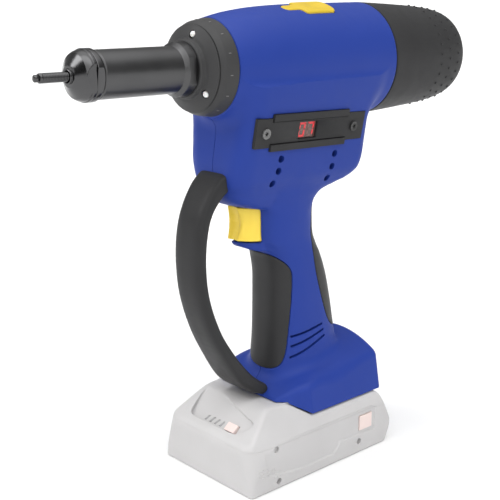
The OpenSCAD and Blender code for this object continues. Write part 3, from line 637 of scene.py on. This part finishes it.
def pack_outer(x, y, z):
    ay = np.abs(y)
    d = pack_outline_d(x, y, np.where(np.asarray(x, float) + 0 * z < 0, np.interp(z, [0, 8, 24], [2.6, 4.0, 11.0]), np.interp(z, [0, 14, 24], [2.4, 2.4, 6.0])))
    # the upper side leans in above the ridge, and so does the rear
    d = smax(d, (ay - 38.6 + (z - 31.0) * 0.42) / 1.085, 1.6)
    d = smax(d, (x - 56.9 + (z - 18) * 0.55) / 1.14, 1.5)
    d = smax(d, np.maximum((x - 58.6 - 0.5 * (z - 8)) / 1.12, (x - 63.0 - z) / 1.414), 3)
    # front slope, head, shoulders, deck
    slope = -(x + 46) * math.sin(SLOPE) + (z - 37.05) * math.cos(SLOPE)
    head = smax(slope, z - 44.1, 3)
    head = smax(head, 0.807 * (ay - 28) + 0.5815 * (z - 44.2) - 0.0998 * (x + 22.5), 2.0)
    back = np.minimum((z - 44.1 + 0.62 * (x + 22.8)) / 1.177, z - 35.5)
    top = smax(head, back, 0.8)
    return smax(d, top, 3.5)


def rails_d(x, y, z):
    a = box_d(x, y, z, (-24, -22, 30), (38, 22, 38.8))
    b = box_d(x, y, z, (-26, -27.5, 38.6), (38, 27.5, 44.1), 0.4)
    return np.minimum(a, b)


def pack_shape(x, y, z):
    """Outside of the whole pack, with its sunk fields."""
    d = np.minimum(pack_outer(x, y, z), rails_d(x, y, z))
    u, v, n = slope_uvn(x, y, z)
    field = poly_d(RECESS, u, v)
    floor = -0.4 - 0.115 * (10 - v) - n
    d = smax(d, -smax(field, floor, 0.8), 0.4)
    ay = np.abs(y)
    # shallow panel along each side, with its stepped lower edge
    panel = poly_d(SIDE_PANEL, x, z)
    d = smax(d, -smax(panel, 38.25 - ay, 0.5), 0.5)
    return d


SIDE_PANEL = [(-49, 26.0), (-46.5, 10.8), (-36, 8.6), (-18, 6.2), (7.5, 6.6), (12.5, 12.6), (43.0, 11.4), (44.5, 26.2), (41, 27.4), (-45, 27.4)]


def pack_upper_piece():
    def f(x, y, z):
        d = pack_shape(x, y, z)
        d = np.maximum(d, -box_d(x, y, z, (-47, -33, 20), (46, 33, 31.5), 2))
        for c in (-12, -4, 4, 12):
            d = np.maximum(d, -box_d(x, y, z, (20, c - 1, 31), (45, c + 1, 42.6)))
        u, v, n = slope_uvn(x, y, z)
        for bu in BARS:
            d = np.maximum(d, -np.maximum(np.maximum(np.abs(u - bu - (v + 6.6) * 0.6) - 0.8, np.abs(v + 6.6) - 1.85), -3.2 - n))
        d = np.maximum(d, -np.maximum(np.maximum(np.abs(u - 12.1) - 4.4, np.abs(v + 6.7) - 2.95), -4.4 - n))
        return np.maximum(d, 26.04 - z)

    return surface("pack_top", f, (-61, -40.5, 24.6), (60, 40.5, 46.6), 0.8)


def pack_lower_piece():
    def f(x, y, z):
        d = smax(pack_shape(x, y, z), -z, 1.4)
        room = np.maximum(pack_outline_d(x, y, 6, 3), pack_outer(x, y, z) + 2.4)
        d = np.maximum(d, -np.maximum(room, 2 - z))
        ay = np.abs(y)
        d = np.maximum(d, -np.maximum(np.maximum(np.abs(x - 35) - 5.7, np.abs(z - 19.1) - 4.85), 33 - ay))
        for sx, sz in SIDE_SCREWS:
            d = np.maximum(d, -np.maximum(np.sqrt((x - sx) ** 2 + (z - sz) ** 2) - 1.9, 36.6 - ay))
        for sx in (-40, 40):
            for sy in (-20, 20):
                d = np.maximum(d, -np.maximum(np.sqrt((x - sx) ** 2 + (y - sy) ** 2) - 3, z - 1))
        return np.maximum(d, z - 25.96)

    return surface("pack_base", f, (-61, -40.5, -1.3), (61, 40.5, 27), 0.8)


SIDE_SCREWS = ((-39.6, 24.2), (-38.2, 4.6), (29.3, 7.6))

# ------------------------------------------------------------------ build the pieces

pieces = {}


def put(ob, body, slot, mat, *nodes):
    ob.data.materials.clear()
    ob.data.materials.append(mat)
    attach(ob, body)
    if nodes:
        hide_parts(*nodes)
    pieces[ob.name] = ob
    return ob


# ---- materials


def new_mat(name):
    m = bpy.data.materials.new(name)
    m.use_nodes = True
    nt = m.node_tree
    b = nt.nodes["Principled BSDF"]
    return m, nt, b


def ramp(nt, src, stops):
    r = nt.nodes.new("ShaderNodeValToRGB")
    while len(r.color_ramp.elements) < len(stops):
        r.color_ramp.elements.new(0.5)
    for e, (p, c) in zip(r.color_ramp.elements, stops):
        e.position = p
        e.color = (*c, 1) if len(c) == 3 else c
    nt.links.new(src, r.inputs[0])
    return r


def noise(nt, coord, scale, detail=4.0, rough=0.55):
    n = nt.nodes.new("ShaderNodeTexNoise")
    n.inputs["Scale"].default_value = scale
    n.inputs["Detail"].default_value = detail
    n.inputs["Roughness"].default_value = rough
    nt.links.new(coord, n.inputs["Vector"])
    return n


def grained(name, col, col2, rough, rough2, grain, bump, spec=0.5, coat=0.0, metal=0.0, streak=None, wear=None, sss=0.0):
    """Procedural finish: colour drift, roughness blotches, fine grain as bump."""
    m, nt, b = new_mat(name)
    tc = nt.nodes.new("ShaderNodeTexCoord")
    co = tc.outputs["Object"]
    big = noise(nt, co, 35.0, 3.0)
    cr = ramp(nt, big.outputs["Fac"], [(0.3, col), (0.7, col2)])
    colour = cr.outputs["Color"]
    if wear is not None:
        geo = nt.nodes.new("ShaderNodeNewGeometry")
        wr = ramp(nt, geo.outputs["Pointiness"], [(0.515, (0, 0, 0)), (0.56, (1, 1, 1))])
        wn = noise(nt, co, 260.0, 3.0)
        mul = nt.nodes.new("ShaderNodeMath")
        mul.operation = "MULTIPLY"
        nt.links.new(wr.outputs["Color"], mul.inputs[0])
        nt.links.new(wn.outputs["Fac"], mul.inputs[1])
        mix = nt.nodes.new("ShaderNodeMix")
        mix.data_type = "RGBA"
        mix.inputs[7].default_value = (*wear, 1)
        nt.links.new(mul.outputs[0], mix.inputs[0])
        nt.links.new(colour, mix.inputs[6])
        colour = mix.outputs[2]
    nt.links.new(colour, b.inputs["Base Color"])
    mid = noise(nt, co, 140.0, 4.0)
    rr = nt.nodes.new("ShaderNodeMapRange")
    rr.inputs["From Min"].default_value = 0.3
    rr.inputs["From Max"].default_value = 0.7
    rr.inputs["To Min"].default_value = rough
    rr.inputs["To Max"].default_value = rough2
    nt.links.new(mid.outputs["Fac"], rr.inputs["Value"])
    nt.links.new(rr.outputs["Result"], b.inputs["Roughness"])
    if streak:
        mp = nt.nodes.new("ShaderNodeMapping")
        mp.inputs["Scale"].default_value = streak
        nt.links.new(co, mp.inputs["Vector"])
        fine = noise(nt, mp.outputs["Vector"], grain, 2.0, 0.5)
    else:
        fine = noise(nt, co, grain, 2.0, 0.5)
    bp = nt.nodes.new("ShaderNodeBump")
    bp.inputs["Strength"].default_value = bump
    bp.inputs["Distance"].default_value = 0.0002
    nt.links.new(fine.outputs["Fac"], bp.inputs["Height"])
    nt.links.new(bp.outputs["Normal"], b.inputs["Normal"])
    b.inputs["Metallic"].default_value = metal
    b.inputs["Specular IOR Level"].default_value = spec
    b.inputs["Coat Weight"].default_value = coat
    if sss > 0:
        b.inputs["Subsurface Weight"].default_value = sss
        b.inputs["Subsurface Radius"].default_value = (0.002, 0.0016, 0.0012)
    return m


M_BLUE = grained("blue_plastic", (0.0175, 0.045, 0.276), (0.0195, 0.048, 0.290), 0.44, 0.54, 3200, 0.10, 0.17)
M_DARK = grained("dark_plastic", (0.032, 0.032, 0.033), (0.037, 0.037, 0.038), 0.44, 0.56, 2600, 0.14, 0.12)
M_GUARD = grained("guard_plastic", (0.030, 0.030, 0.031), (0.035, 0.035, 0.036), 0.38, 0.48, 2600, 0.12, 0.14)
M_COLLAR = grained("collar_plastic", (0.045, 0.045, 0.046), (0.051, 0.051, 0.052), 0.40, 0.52, 2600, 0.12, 0.2)
M_GRIP = grained("soft_rubber", (0.029, 0.029, 0.030), (0.034, 0.034, 0.035), 0.42, 0.52, 2200, 0.18, 0.22)
# top slider: the trigger's yellow made darker, painted shade so the up-facing slider lit from overhead looks no
# brighter than the trigger
M_LATCH_SHADED = grained("yellow_slider_painted_shade", (0.64, 0.45, 0.024), (0.665, 0.47, 0.029), 0.36, 0.46, 3000, 0.08, 0.35, sss=0.05)
M_YELLOW = grained("yellow_plastic", (0.97, 0.70, 0.07), (0.99, 0.73, 0.085), 0.36, 0.46, 3000, 0.08, 0.45, sss=0.05)
M_TUBE = grained("satin_steel", (0.085, 0.085, 0.087), (0.10, 0.10, 0.102), 0.31, 0.38, 1800, 0.03, 0.5, metal=1.0, streak=(0.15, 1, 1))
M_BLACK = grained("blackened_steel", (0.085, 0.085, 0.087), (0.10, 0.10, 0.102), 0.17, 0.23, 1800, 0.03, 0.5, metal=1.0, streak=(0.15, 1, 1))
M_STEEL = grained("machined_steel", (0.42, 0.42, 0.44), (0.52, 0.52, 0.54), 0.22, 0.36, 1500, 0.08, 0.5, metal=1.0, streak=(1, 0.08, 0.08))
M_ALLOY = grained("cast_alloy", (0.40, 0.40, 0.42), (0.47, 0.47, 0.49), 0.42, 0.58, 900, 0.25, 0.5, metal=1.0)
M_SCREW = grained("screw_steel", (0.30, 0.30, 0.31), (0.40, 0.40, 0.41), 0.28, 0.42, 2000, 0.08, 0.5, metal=1.0)
M_SCREWF = grained("screw_grey", (0.15, 0.15, 0.15), (0.19, 0.19, 0.19), 0.35, 0.45, 2000, 0.08, 0.5, metal=0.25)
M_MARK = grained("index_marks", (0.15, 0.147, 0.145), (0.2, 0.196, 0.194), 0.35, 0.5, 2000, 0.08, 0.5)
M_OFF = grained("display_unlit", (0.17, 0.085, 0.075), (0.2, 0.1, 0.09), 0.25, 0.35, 1500, 0.03, 0.5)
M_SCREWD = grained("screw_dark", (0.05, 0.05, 0.05), (0.07, 0.07, 0.07), 0.35, 0.5, 2000, 0.08, 0.5, metal=0.7)
M_LENS = grained("lens", (0.86, 0.86, 0.86), (0.92, 0.92, 0.92), 0.12, 0.2, 1500, 0.02, 0.5, sss=0.2)
M_BOARD = grained("circuit_board", (0.03, 0.16, 0.07), (0.045, 0.2, 0.09), 0.3, 0.42, 1200, 0.15, 0.5)
M_COPPER = grained("copper_wire", (0.60, 0.27, 0.12), (0.7, 0.34, 0.16), 0.25, 0.4, 2400, 0.4, 0.5, metal=1.0, streak=(0.05, 1, 1))
M_CONTACT = grained("contact_metal", (0.68, 0.53, 0.26), (0.76, 0.6, 0.3), 0.22, 0.34, 1500, 0.06, 0.5, metal=1.0)
M_WINDOW = grained("display_window", (0.11, 0.065, 0.058), (0.13, 0.08, 0.07), 0.10, 0.18, 1800, 0.03, 0.5)
M_DIGIT = grained("display_digit", (0.80, 0.035, 0.05), (0.9, 0.05, 0.06), 0.25, 0.35, 1500, 0.03, 0.5)
M_PACK = grained("pack_plastic", (0.52, 0.511, 0.511), (0.555, 0.546, 0.546), 0.42, 0.54, 2600, 0.10, 0.4)
M_RED = grained("pack_red", (0.80, 0.655, 0.62), (0.83, 0.685, 0.65), 0.36, 0.46, 2600, 0.08, 0.45)
M_BARS = grained("pack_bars", (0.36, 0.36, 0.36), (0.42, 0.42, 0.42), 0.18, 0.28, 2000, 0.05, 0.5)
M_CELL = grained("cell_sleeve", (0.05, 0.22, 0.16), (0.07, 0.27, 0.2), 0.25, 0.38, 900, 0.06, 0.5)

NODE_MAT = {
    "motor_windings": M_COPPER, "battery_contacts": M_CONTACT, "battery_cells": M_CELL, "gear_case": M_ALLOY, "motor_can": M_ALLOY,
    "housing_screws": M_SCREW, "guard_screws": M_SCREWD, "battery_screws": M_SCREW, "panel_screws": M_SCREW, "cooling_fan": M_DARK, "trigger_switch": M_DARK, "terminal_block": M_DARK,
    "work_light_board": M_BOARD, "display_board": M_BOARD, "control_board": M_BOARD, "battery_board": M_BOARD,
}
for name, ob in NODES.items():
    ob.data.materials.clear()
    ob.data.materials.append(NODE_MAT.get(name, M_STEEL))

# ---- housing, grips, guard, trigger, latch
put(housing(-1), "tool", "blue_shell", M_BLUE, "housing_left")
put(housing(1), "tool", "blue_shell", M_BLUE, "housing_right")
put(grip("grip_front_pad", GRIP_F, (-32, -23, 55), (-6, 23, 133)), "tool", "soft_grip", M_GRIP, "grip_front")
put(grip("grip_rear_pad", GRIP_R, (5, -21.5, 72), (40.5, 21.5, 157.5)), "tool", "soft_grip", M_GRIP, "grip_rear")
put(guard_piece(), "tool", "dark_plastic", M_GUARD, "hand_guard")
put(trigger_piece(), "trigger", "yellow", M_YELLOW, "trigger")
put(latch_piece(), "latch", "yellow", M_LATCH_SHADED, "top_latch")

# ---- nose


def cutter(name, fn):
    ob = solid_from(name, fn)
    ob.display_type = "WIRE"
    return ob


def boolean(ob, cut):
    m = ob.modifiers.new("cut", "BOOLEAN")
    m.operation = "DIFFERENCE"
    m.solver = "EXACT"
    m.object = cut
    bpy.context.view_layer.update()
    dg = bpy.context.evaluated_depsgraph_get()
    me = bpy.data.meshes.new_from_object(ob.evaluated_get(dg))
    ob.modifiers.clear()
    old = ob.data
    ob.data = me
    bpy.data.meshes.remove(old)
    cm = cut.data
    bpy.data.objects.remove(cut)
    bpy.data.meshes.remove(cm)
    return ob


LEDS = [(18 * math.cos(math.radians(t)), AX + 18 * math.sin(math.radians(t))) for t in (102, 222, 342)]


def along_x(y, z):
    """Local frame whose height runs along X, at (y, z)."""
    return Matrix(((0, 0, 1, 0), (1, 0, 0, y), (0, 1, 0, z), (0, 0, 0, 1)))


flange = lathe("flange", round_profile([
    (-46, 9.6), (-46, 22.3, 0.3), (-50, 22.3, 0.3), (-50, 20, 0.2), (-65.9, 20), (-66, 22.6, 0.4), (-66.5, 22.9, 0.5), (-68.8, 17.4, 0.9), (-69.3, 15.5, 0.7), (-71.8, 15.2, 0.7), (-72.1, 14.4, 0.2),
    (-72.1, 11.0), (-55, 11.0), (-55, 9.6)]))
for y0, z0 in LEDS:
    boolean(flange, cutter("led_cut", lambda bm: prism(bm, ngon(2.2, 32), -73, -66.7, along_x(y0, z0))))
flange.data.set_sharp_from_angle(angle=math.radians(28))
put(flange, "tool", "dark_plastic", M_COLLAR, "nose_flange")


def lens_set():
    obs = []
    for y, z in LEDS:
        obs.append(lathe("lens", [(-61.4, 0), (-61.4, 1.75), (-67.6, 1.75), (-68.2, 1.62), (-68.65, 1.3), (-68.9, 0.8), (-69, 0)], 28, y=y, z=z))
    return join("work_lights", obs)


put(lens_set(), "tool", "lens", M_LENS, "work_light_lenses")

put(lathe("collar_ring", round_profile([
    (-55.3, 20.06), (-55.3, 25.75, 0.35), (-62.6, 24.55, 4.0), (-65.6, 22.9, 0.7), (-65.6, 20.06)])), "collar", "dark_plastic", M_COLLAR, "front_collar")


def marks_piece():
    """Small raised index marks round the collar."""
    def build(bm):
        for k in range(14):
            a = math.radians(5.4 + k * 360 / 14)
            M = Matrix.Translation((-60, 0, AX)) @ Matrix.Rotation(a, 4, "X") @ Matrix.Translation((0, 25.0, 0)) @ Matrix.Rotation(math.radians(9.4), 4, "Z")
            lo = [(-0.85, -0.6, -0.3), (0.85, -0.6, -0.3), (0.85, -0.6, 0.3), (-0.85, -0.6, 0.3)]
            hi = [(-0.7, 0.15, -0.18), (0.7, 0.15, -0.18), (0.7, 0.15, 0.18), (-0.7, 0.15, 0.18)]
            a4, b4 = [bm.verts.new(M @ Vector(q)) for q in lo], [bm.verts.new(M @ Vector(q)) for q in hi]
            bm.faces.new(b4)
            bm.faces.new(a4[::-1])
            for i in range(4):
                bm.faces.new((a4[i], a4[(i + 1) % 4], b4[(i + 1) % 4], b4[i]))

    return solid_from("collar_marks", build)


put(marks_piece(), "collar", "pack_bar", M_MARK)


def flats(x0, x1, a_f, turn=0.0):
    """Two wrench flats facing the sides."""
    def f(x, th, r):
        c = np.maximum(np.abs(np.cos(th - turn)), 1e-3)
        on = (x >= x0 - 1e-6) & (x <= x1 + 1e-6)
        return np.where(on, np.minimum(r, a_f / c), r)

    return f


put(lathe("nose_barrel", round_profile([
    (-55.2, 8.2), (-55.2, 10.97), (-72.3, 10.97), (-72.3, 13.6), (-72.5, 13.95), (-72.55, 13.95), (-77.55, 13.95), (-77.6, 13.95, 0.1), (-78.0, 13.85), (-79.4, 12.4), (-79.9, 12.05), (-126.2, 12.0, 0.3), (-126.9, 11.4, 0.3), (-127, 10.4),
    (-133.6, 10.4), (-133.6, 8.2)]), 300, flats(-77.55, -72.55, 12.1), 20), "tool", "black_steel", M_TUBE, "nose_tube")
ring = [(-127.2, 10.45), (-127.2, 11.4)] + [(-127.2 - 1.5 * t, 11.4 + 1.5 * math.sin(t * math.pi / 2)) for t in np.linspace(0.06, 1, 14)]
ring += [(-130.8, 12.9), (-131.05, 12.85), (-131.3, 12.65), (-131.4, 12.4), (-131.4, 10.45)]
put(lathe("lock_ring", ring, 300, flats(-131.5, -127.1, 11.5, math.radians(7)), 20), "tool", "black_steel", M_BLACK, "lock_nut")
cone = [(-133.8, 3.05), (-133.8, 10.45), (-131.6, 10.45), (-131.6, 12.75), (-131.75, 12.9), (-132.8, 12.9), (-133.25, 12.6), (-133.45, 12.4)]
cone += [(x, 12.4 - 1.5 * ((-133.5 - x) / 3.6) ** 1.7) for x in np.linspace(-133.6, -137.0, 18)]
cone += [(-137.15, 10.6), (-137.3, 10.35)]
cone += [(x, 10.3 + (x + 137.3) * 1.7) for x in np.linspace(-137.5, -139.9, 12)]
cone += [(-140.15, 5.55), (-140.35, 5.3), (-140.4, 5.05), (-140.4, 3.9), (-140.55, 3.72), (-141.1, 3.7), (-141.3, 3.62), (-141.4, 3.45), (-141.4, 3.2), (-141.25, 3.05), (-133.8, 3.05)]
put(lathe("nose_cone", cone, 300, flats(-138, -131.5, 11.1), 20), "tool", "black_steel", M_BLACK, "nosepiece")


def mandrel_piece():
    pitch, r0 = 0.8, 2.45
    xs = np.arange(-155.0, -138.0, pitch / 8)
    prof = [(-159, 0), (-159, 1.05), (-158.8, 1.5), (-158.5, 1.75), (-157.3, 1.75), (-157.1, 1.6), (-157.05, 1.3), (-156.55, 1.3), (-156.5, 1.95), (-156.3, 2.25), (-156.1, 2.4), (-155.25, 2.4), (-155.2, 2.15)]
    prof += [(x, r0) for x in xs] + [(-138, 2.3), (-133, 2.3), (-133, 4.2), (-126, 4.2), (-126, 0)]

    def thread(x, th, r):
        ph = (x / pitch + th / (2 * np.pi)) % 1.0
        cut = 0.2 * np.abs(2 * ph - 1)
        return np.where((x > -155.1) & (x < -138.05), r - cut, r)

    return lathe("mandrel", prof, 40, thread, 60)


put(mandrel_piece(), "mandrel", "black_steel", M_BLACK, "threaded_mandrel")

# ---- rear cap with its rings of small bumps
R_CAP, DR_CAP = pchip([60.4, 75, 90, 105, 118, 125, 130, 133.5, 135.6], [32.8, 32.15, 31.35, 30.45, 29.25, 28.2, 27.0, 25.3, 23.2])


def cap_piece():
    prof = [(66, 26.56), (60.45, 26.56), (60.45, 32.1), (60.95, 32.72)] + [(x, float(R_CAP(x))) for x in np.linspace(61.4, 135.6, 70)]
    prof += [(136.4, 21.4), (136.8, 18), (137, 12), (137, 0)]
    inner = [(134, 0), (133.4, 18), (129.6, 24.0), (118, 26.4), (105, 27.6), (90, 28.6), (72, 29.4), (66, 29.4), (66, 26.56)]
    obs = [lathe("cap", prof + inner, 144, sharp=40)]
    verts, faces = [], []
    for x, first in ((105.8, 3.7), (115.0, 9.5), (124.6, 3.7)):
        for k in range(31):
            th = math.pi - math.radians(first) - 2 * math.pi * k / 31
            r = float(R_CAP(x))
            sl = float(DR_CAP(x))
            nrm = np.array([-sl, math.cos(th), math.sin(th)])
            nrm /= np.linalg.norm(nrm)
            c = np.array([x, r * math.cos(th), AX + r * math.sin(th)])
            t1 = np.array([1, sl * math.cos(th), sl * math.sin(th)])
            t1 /= np.linalg.norm(t1)
            t2 = np.cross(nrm, t1)
            b0 = len(verts)
            for j, (rad, hgt) in enumerate(((0.9, -0.2), (0.78, 0.25), (0.55, 0.48), (0.28, 0.6))):
                for m in range(12):
                    a = 2 * math.pi * m / 12
                    verts.append(c + rad * (math.cos(a) * t1 + math.sin(a) * t2) + hgt * nrm)
            top = len(verts)
            verts.append(c + nrm * 0.64)
            for j in range(3):
                for m in range(12):
                    m2 = (m + 1) % 12
                    faces.append((b0 + j * 12 + m, b0 + j * 12 + m2, b0 + (j + 1) * 12 + m2, b0 + (j + 1) * 12 + m))
            for m in range(12):
                faces.append((b0 + 36 + m, b0 + 36 + (m + 1) % 12, top))
    obs.append(add_object("bumps", verts, faces, 80))
    return join("cap_shell", obs)


put(cap_piece(), "cap", "dark_plastic", M_DARK, "rear_cap")

# ---- side plate
SIDE = Matrix.Translation((0, -25.85, 200)) @ Matrix.Rotation(math.pi / 2 + LEAN, 4, "X") @ Matrix.Translation((-3, 0, 0)) @ Matrix.Rotation(TILT, 4, "Z") @ Matrix.Translation((3, 0, 0))


def plate_piece():
    def build(bm):
        out = [(-45, -8), (-34.2, -8), (-34.2, -5.9), (24.8, -5.9), (24.8, -8), (39, -8), (39, 8), (24.8, 8), (24.8, 5.9), (-34.2, 5.9), (-34.2, 8), (-45, 8)]
        prism(bm, out, -1.4, 0.8, SIDE)

        prism(bm, ngon(4.2, 56, 30.1, 0), 0.6, 1.35, SIDE)

    return solid_from("side_plate", build, 0.4, 3)


plate = plate_piece()
boolean(plate, cutter("win_cut", lambda bm: prism(bm, rect(-13.5, -4.9, 0.9, 4.9), -3, 3, SIDE)))
put(plate, "tool", "dark_plastic", M_DARK, "display_panel")


def window_piece():
    def build(bm):
        prism(bm, rect(-13.3, -4.7, 0.7, 4.7), -2.6, -0.9, SIDE)

    ob = solid_from("window_glass", build, 0.2, 2)
    return ob


put(window_piece(), "tool", "display", M_WINDOW, "display_window")


def digits_piece(name, lit):
    seg = {"a": (0, 1, 0), "b": (1, 0.5, 1), "c": (1, -0.5, 1), "d": (0, -1, 0), "e": (-1, -0.5, 1), "f": (-1, 0.5, 1), "g": (0, 0, 0)}

    def build(bm):
        for cx, on in ((-9.9, lit[0]), (-3.2, lit[1])):
            for s in on:
                sx, sy, vert = seg[s]
                px, py = cx + sx * 1.95, sy * 3.5
                w, h = (0.6, 1.6) if vert else (2.45, 0.6)
                t = 0.08
                o = [(px - w + t * (py - h), py - h), (px + w + t * (py - h), py - h), (px + w + t * (py + h), py + h), (px - w + t * (py + h), py + h)]
                prism(bm, o, -0.95, -0.78, SIDE)

    return solid_from(name, build)


put(digits_piece("digits", ("abcdef", "abc")), "tool", "display", M_DIGIT)
put(digits_piece("digits_unlit", ("g", "defg")), "tool", "display", M_OFF)


def rails_piece():
    def build(bm):
        for s in (-1, 1):
            prism(bm, rect(-33.8, s * 8.25 - 1.85, 24.4, s * 8.25 + 1.85), -1.2, 1.7, SIDE)

    return solid_from("plate_rails", build, 0.55, 3)


put(rails_piece(), "tool", "dark_plastic", M_DARK, "panel_clips")


def plate_screw(name, u, top):
    M = SIDE @ Matrix.Translation((u, 0, 0))
    ob = solid_from(name + "_head", lambda bm: prism(bm, ngon(2.8, 40), top - 1.4, top, M), 0.3, 3)

    def star(bm):
        o = []
        for k in range(48):
            a = 2 * math.pi * k / 48
            r = 1.15 + 0.28 * math.cos(6 * a)
            o.append((r * math.cos(a), r * math.sin(a)))
        prism(bm, o, top - 0.8, top + 2, M)

    ob = boolean(ob, cutter(name + "_star", star))
    shank = solid_from(name + "_shank", lambda bm: prism(bm, ngon(1.25, 20), -6, top - 1.3, M))
    return join(name, [ob, shank])


put(plate_screw("plate_screw_front", -38, 1.6), "tool", "screw", M_SCREWF, "panel_screws")
put(plate_screw("plate_screw_rear", 30.1, 1.9), "tool", "screw", M_SCREWD)

# ---- pack
put(pack_lower_piece(), "pack", "pack_shell", M_PACK, "battery_lower_shell")
put(pack_upper_piece(), "pack", "pack_shell", M_PACK, "battery_upper_shell")


def dots_piece():
    """Small grip studs low on each side, near the front."""
    rows = ((15.0, -53.0, 3), (12.65, -53.0, 6), (10.35, -50.7, 7), (8.1, -41.4, 3))

    def build(bm):
        for side in (-1, 1):
            for z, x0, n in rows:
                for k in range(n):
                    x = x0 + 2.33 * k
                    y = 40.5
                    while float(pack_shape(np.array([x]), np.array([side * y]), np.array([z]))[0]) > 0 and y > 34:
                        y -= 0.05
                    rings = []
                    for rad, hgt in ((0.66, -0.15), (0.6, 0.2), (0.4, 0.42), (0.16, 0.5)):
                        rings.append([bm.verts.new((x + rad * math.cos(a), side * (y + hgt), z + rad * math.sin(a))) for a in np.arange(10) * 2 * math.pi / 10])
                    for a, b in zip(rings[:-1], rings[1:]):
                        for i in range(10):
                            bm.faces.new((a[i], a[(i + 1) % 10], b[(i + 1) % 10], b[i]))
                    bm.faces.new(rings[-1])
                    bm.faces.new(rings[0][::-1])

    return solid_from("pack_studs", build, sharp=80)


put(dots_piece(), "pack", "pack_shell", M_PACK)


def release_piece(side):
    def build(bm):
        y0, y1 = sorted((side * 36.95, side * 39.0))
        M = Matrix(((1, 0, 0, 0), (0, 0, 1, 0), (0, 1, 0, 0), (0, 0, 0, 1)))
        prism(bm, [(29.6, 14.6), (40.4, 14.6), (40.4, 23.6), (29.6, 23.6)], y0, y1, M)

    return solid_from("release_pad_" + ("left" if side < 0 else "right"), build, 0.7, 3)


put(release_piece(-1), "release_left", "pack_red", M_RED, "release_button_left")
put(release_piece(1), "release_right", "pack_red", M_RED, "release_button_right")

SL = Matrix.Translation((-46, 0, 37.05)) @ Matrix(((0, math.cos(SLOPE), -math.sin(SLOPE), 0), (-1, 0, 0, 0), (0, math.sin(SLOPE), math.cos(SLOPE), 0), (0, 0, 0, 1)))


def charge_button_piece():
    return solid_from("charge_pad", lambda bm: prism(bm, rect(8.1, -9.3, 16.1, -4.1), -3.4, -0.6, SL), 0.7, 3)


put(charge_button_piece(), "charge", "pack_red", M_RED, "charge_button")


def charge_bars_piece():
    def build(bm):
        for u in BARS:
            prism(bm, [(u - 0.7 - 0.95, -8.2), (u + 0.7 - 0.95, -8.2), (u + 0.7 + 0.95, -5.0), (u - 0.7 + 0.95, -5.0)], -3.1, -2.3, SL)

    return solid_from("charge_marks", build)


put(charge_bars_piece(), "pack", "pack_bar", M_BARS, "charge_bars")

# ------------------------------------------------------------------ stage, light, camera

fl = bpy.data.meshes.new("floor")
# flat, with far edges that rise a little past the horizon
fl.from_pydata([(a * w, b * w, h) for w, h in ((24, 0), (40, 3.0)) for a, b in ((-1, -1), (1, -1), (1, 1), (-1, 1))], [],
               [(0, 1, 2, 3)] + [(4 + k, 4 + (k + 1) % 4, (k + 1) % 4, k) for k in range(4)])
floor = bpy.data.objects.new("floor", fl)
bpy.context.scene.collection.objects.link(floor)
fl.materials.append(grained("floor_paint", (0.87, 0.87, 0.87), (0.89, 0.89, 0.89), 0.75, 0.9, 300, 0.02, 0.1))

world = bpy.data.worlds.new("studio") if not bpy.context.scene.world else bpy.context.scene.world
bpy.context.scene.world = world
world.use_nodes = True
wt = world.node_tree
bg = wt.nodes.get("Background")
bg.inputs["Color"].default_value = (1, 1, 1, 1)


def vmath(op, *ins):
    n = wt.nodes.new("ShaderNodeVectorMath")
    n.operation = op
    for i, v in enumerate(ins):
        if isinstance(v, tuple):
            n.inputs[i].default_value = v
        else:
            wt.links.new(v, n.inputs[i])
    return n


def spread(src, f0, f1, t0, t1):
    n = wt.nodes.new("ShaderNodeMapRange")
    n.interpolation_type = "SMOOTHSTEP"
    for k, v in (("From Min", f0), ("From Max", f1), ("To Min", t0), ("To Max", t1)):
        n.inputs[k].default_value = v
    wt.links.new(src, n.inputs["Value"])
    return n.outputs["Result"]


# white room, darker where the photographer stands, brighter overhead
toward = vmath("NORMALIZE", wt.nodes.new("ShaderNodeTexCoord").outputs["Generated"]).outputs["Vector"]
dark = Vector((-0.86, -0.50, 0.04)).normalized()
shade = spread(vmath("DOT_PRODUCT", toward, tuple(dark)).outputs["Value"], 0.3, 0.9, 1.0, 0.08)
over = spread(vmath("DOT_PRODUCT", toward, (0.0, 0.0, 1.0)).outputs["Value"], 0.60, 0.95, 0.30, 1.8)
level = wt.nodes.new("ShaderNodeMath")
level.operation = "MULTIPLY"
wt.links.new(shade, level.inputs[0])
wt.links.new(over, level.inputs[1])
wt.links.new(level.outputs[0], bg.inputs["Strength"])


def sun(name, frm, power, angle):
    li = bpy.data.lights.new(name, "SUN")
    li.energy = power
    li.angle = math.radians(angle)
    ob = bpy.data.objects.new(name, li)
    ob.rotation_euler = (-Vector(frm)).to_track_quat("-Z", "Y").to_euler()
    bpy.context.scene.collection.objects.link(ob)
    return ob


sun("key", (-0.5, -0.6, 1.0), 2.0, 85)
sun("rim", (-0.69, 0.5, 0.54), 0.8, 25)

cam = bpy.data.cameras.new("photo_camera")
cam.sensor_width = 36
cam.lens = 71.25
cam.clip_start = 0.01
co = bpy.data.objects.new("photo_camera", cam)
co.location = (-0.39333, -0.40526, 0.27279)
co.rotation_euler = (math.radians(90 - 14.593), 0, math.radians(-42.255))
bpy.context.scene.collection.objects.link(co)
bpy.context.scene.camera = co
bpy.context.scene.view_settings.view_transform = "Standard"
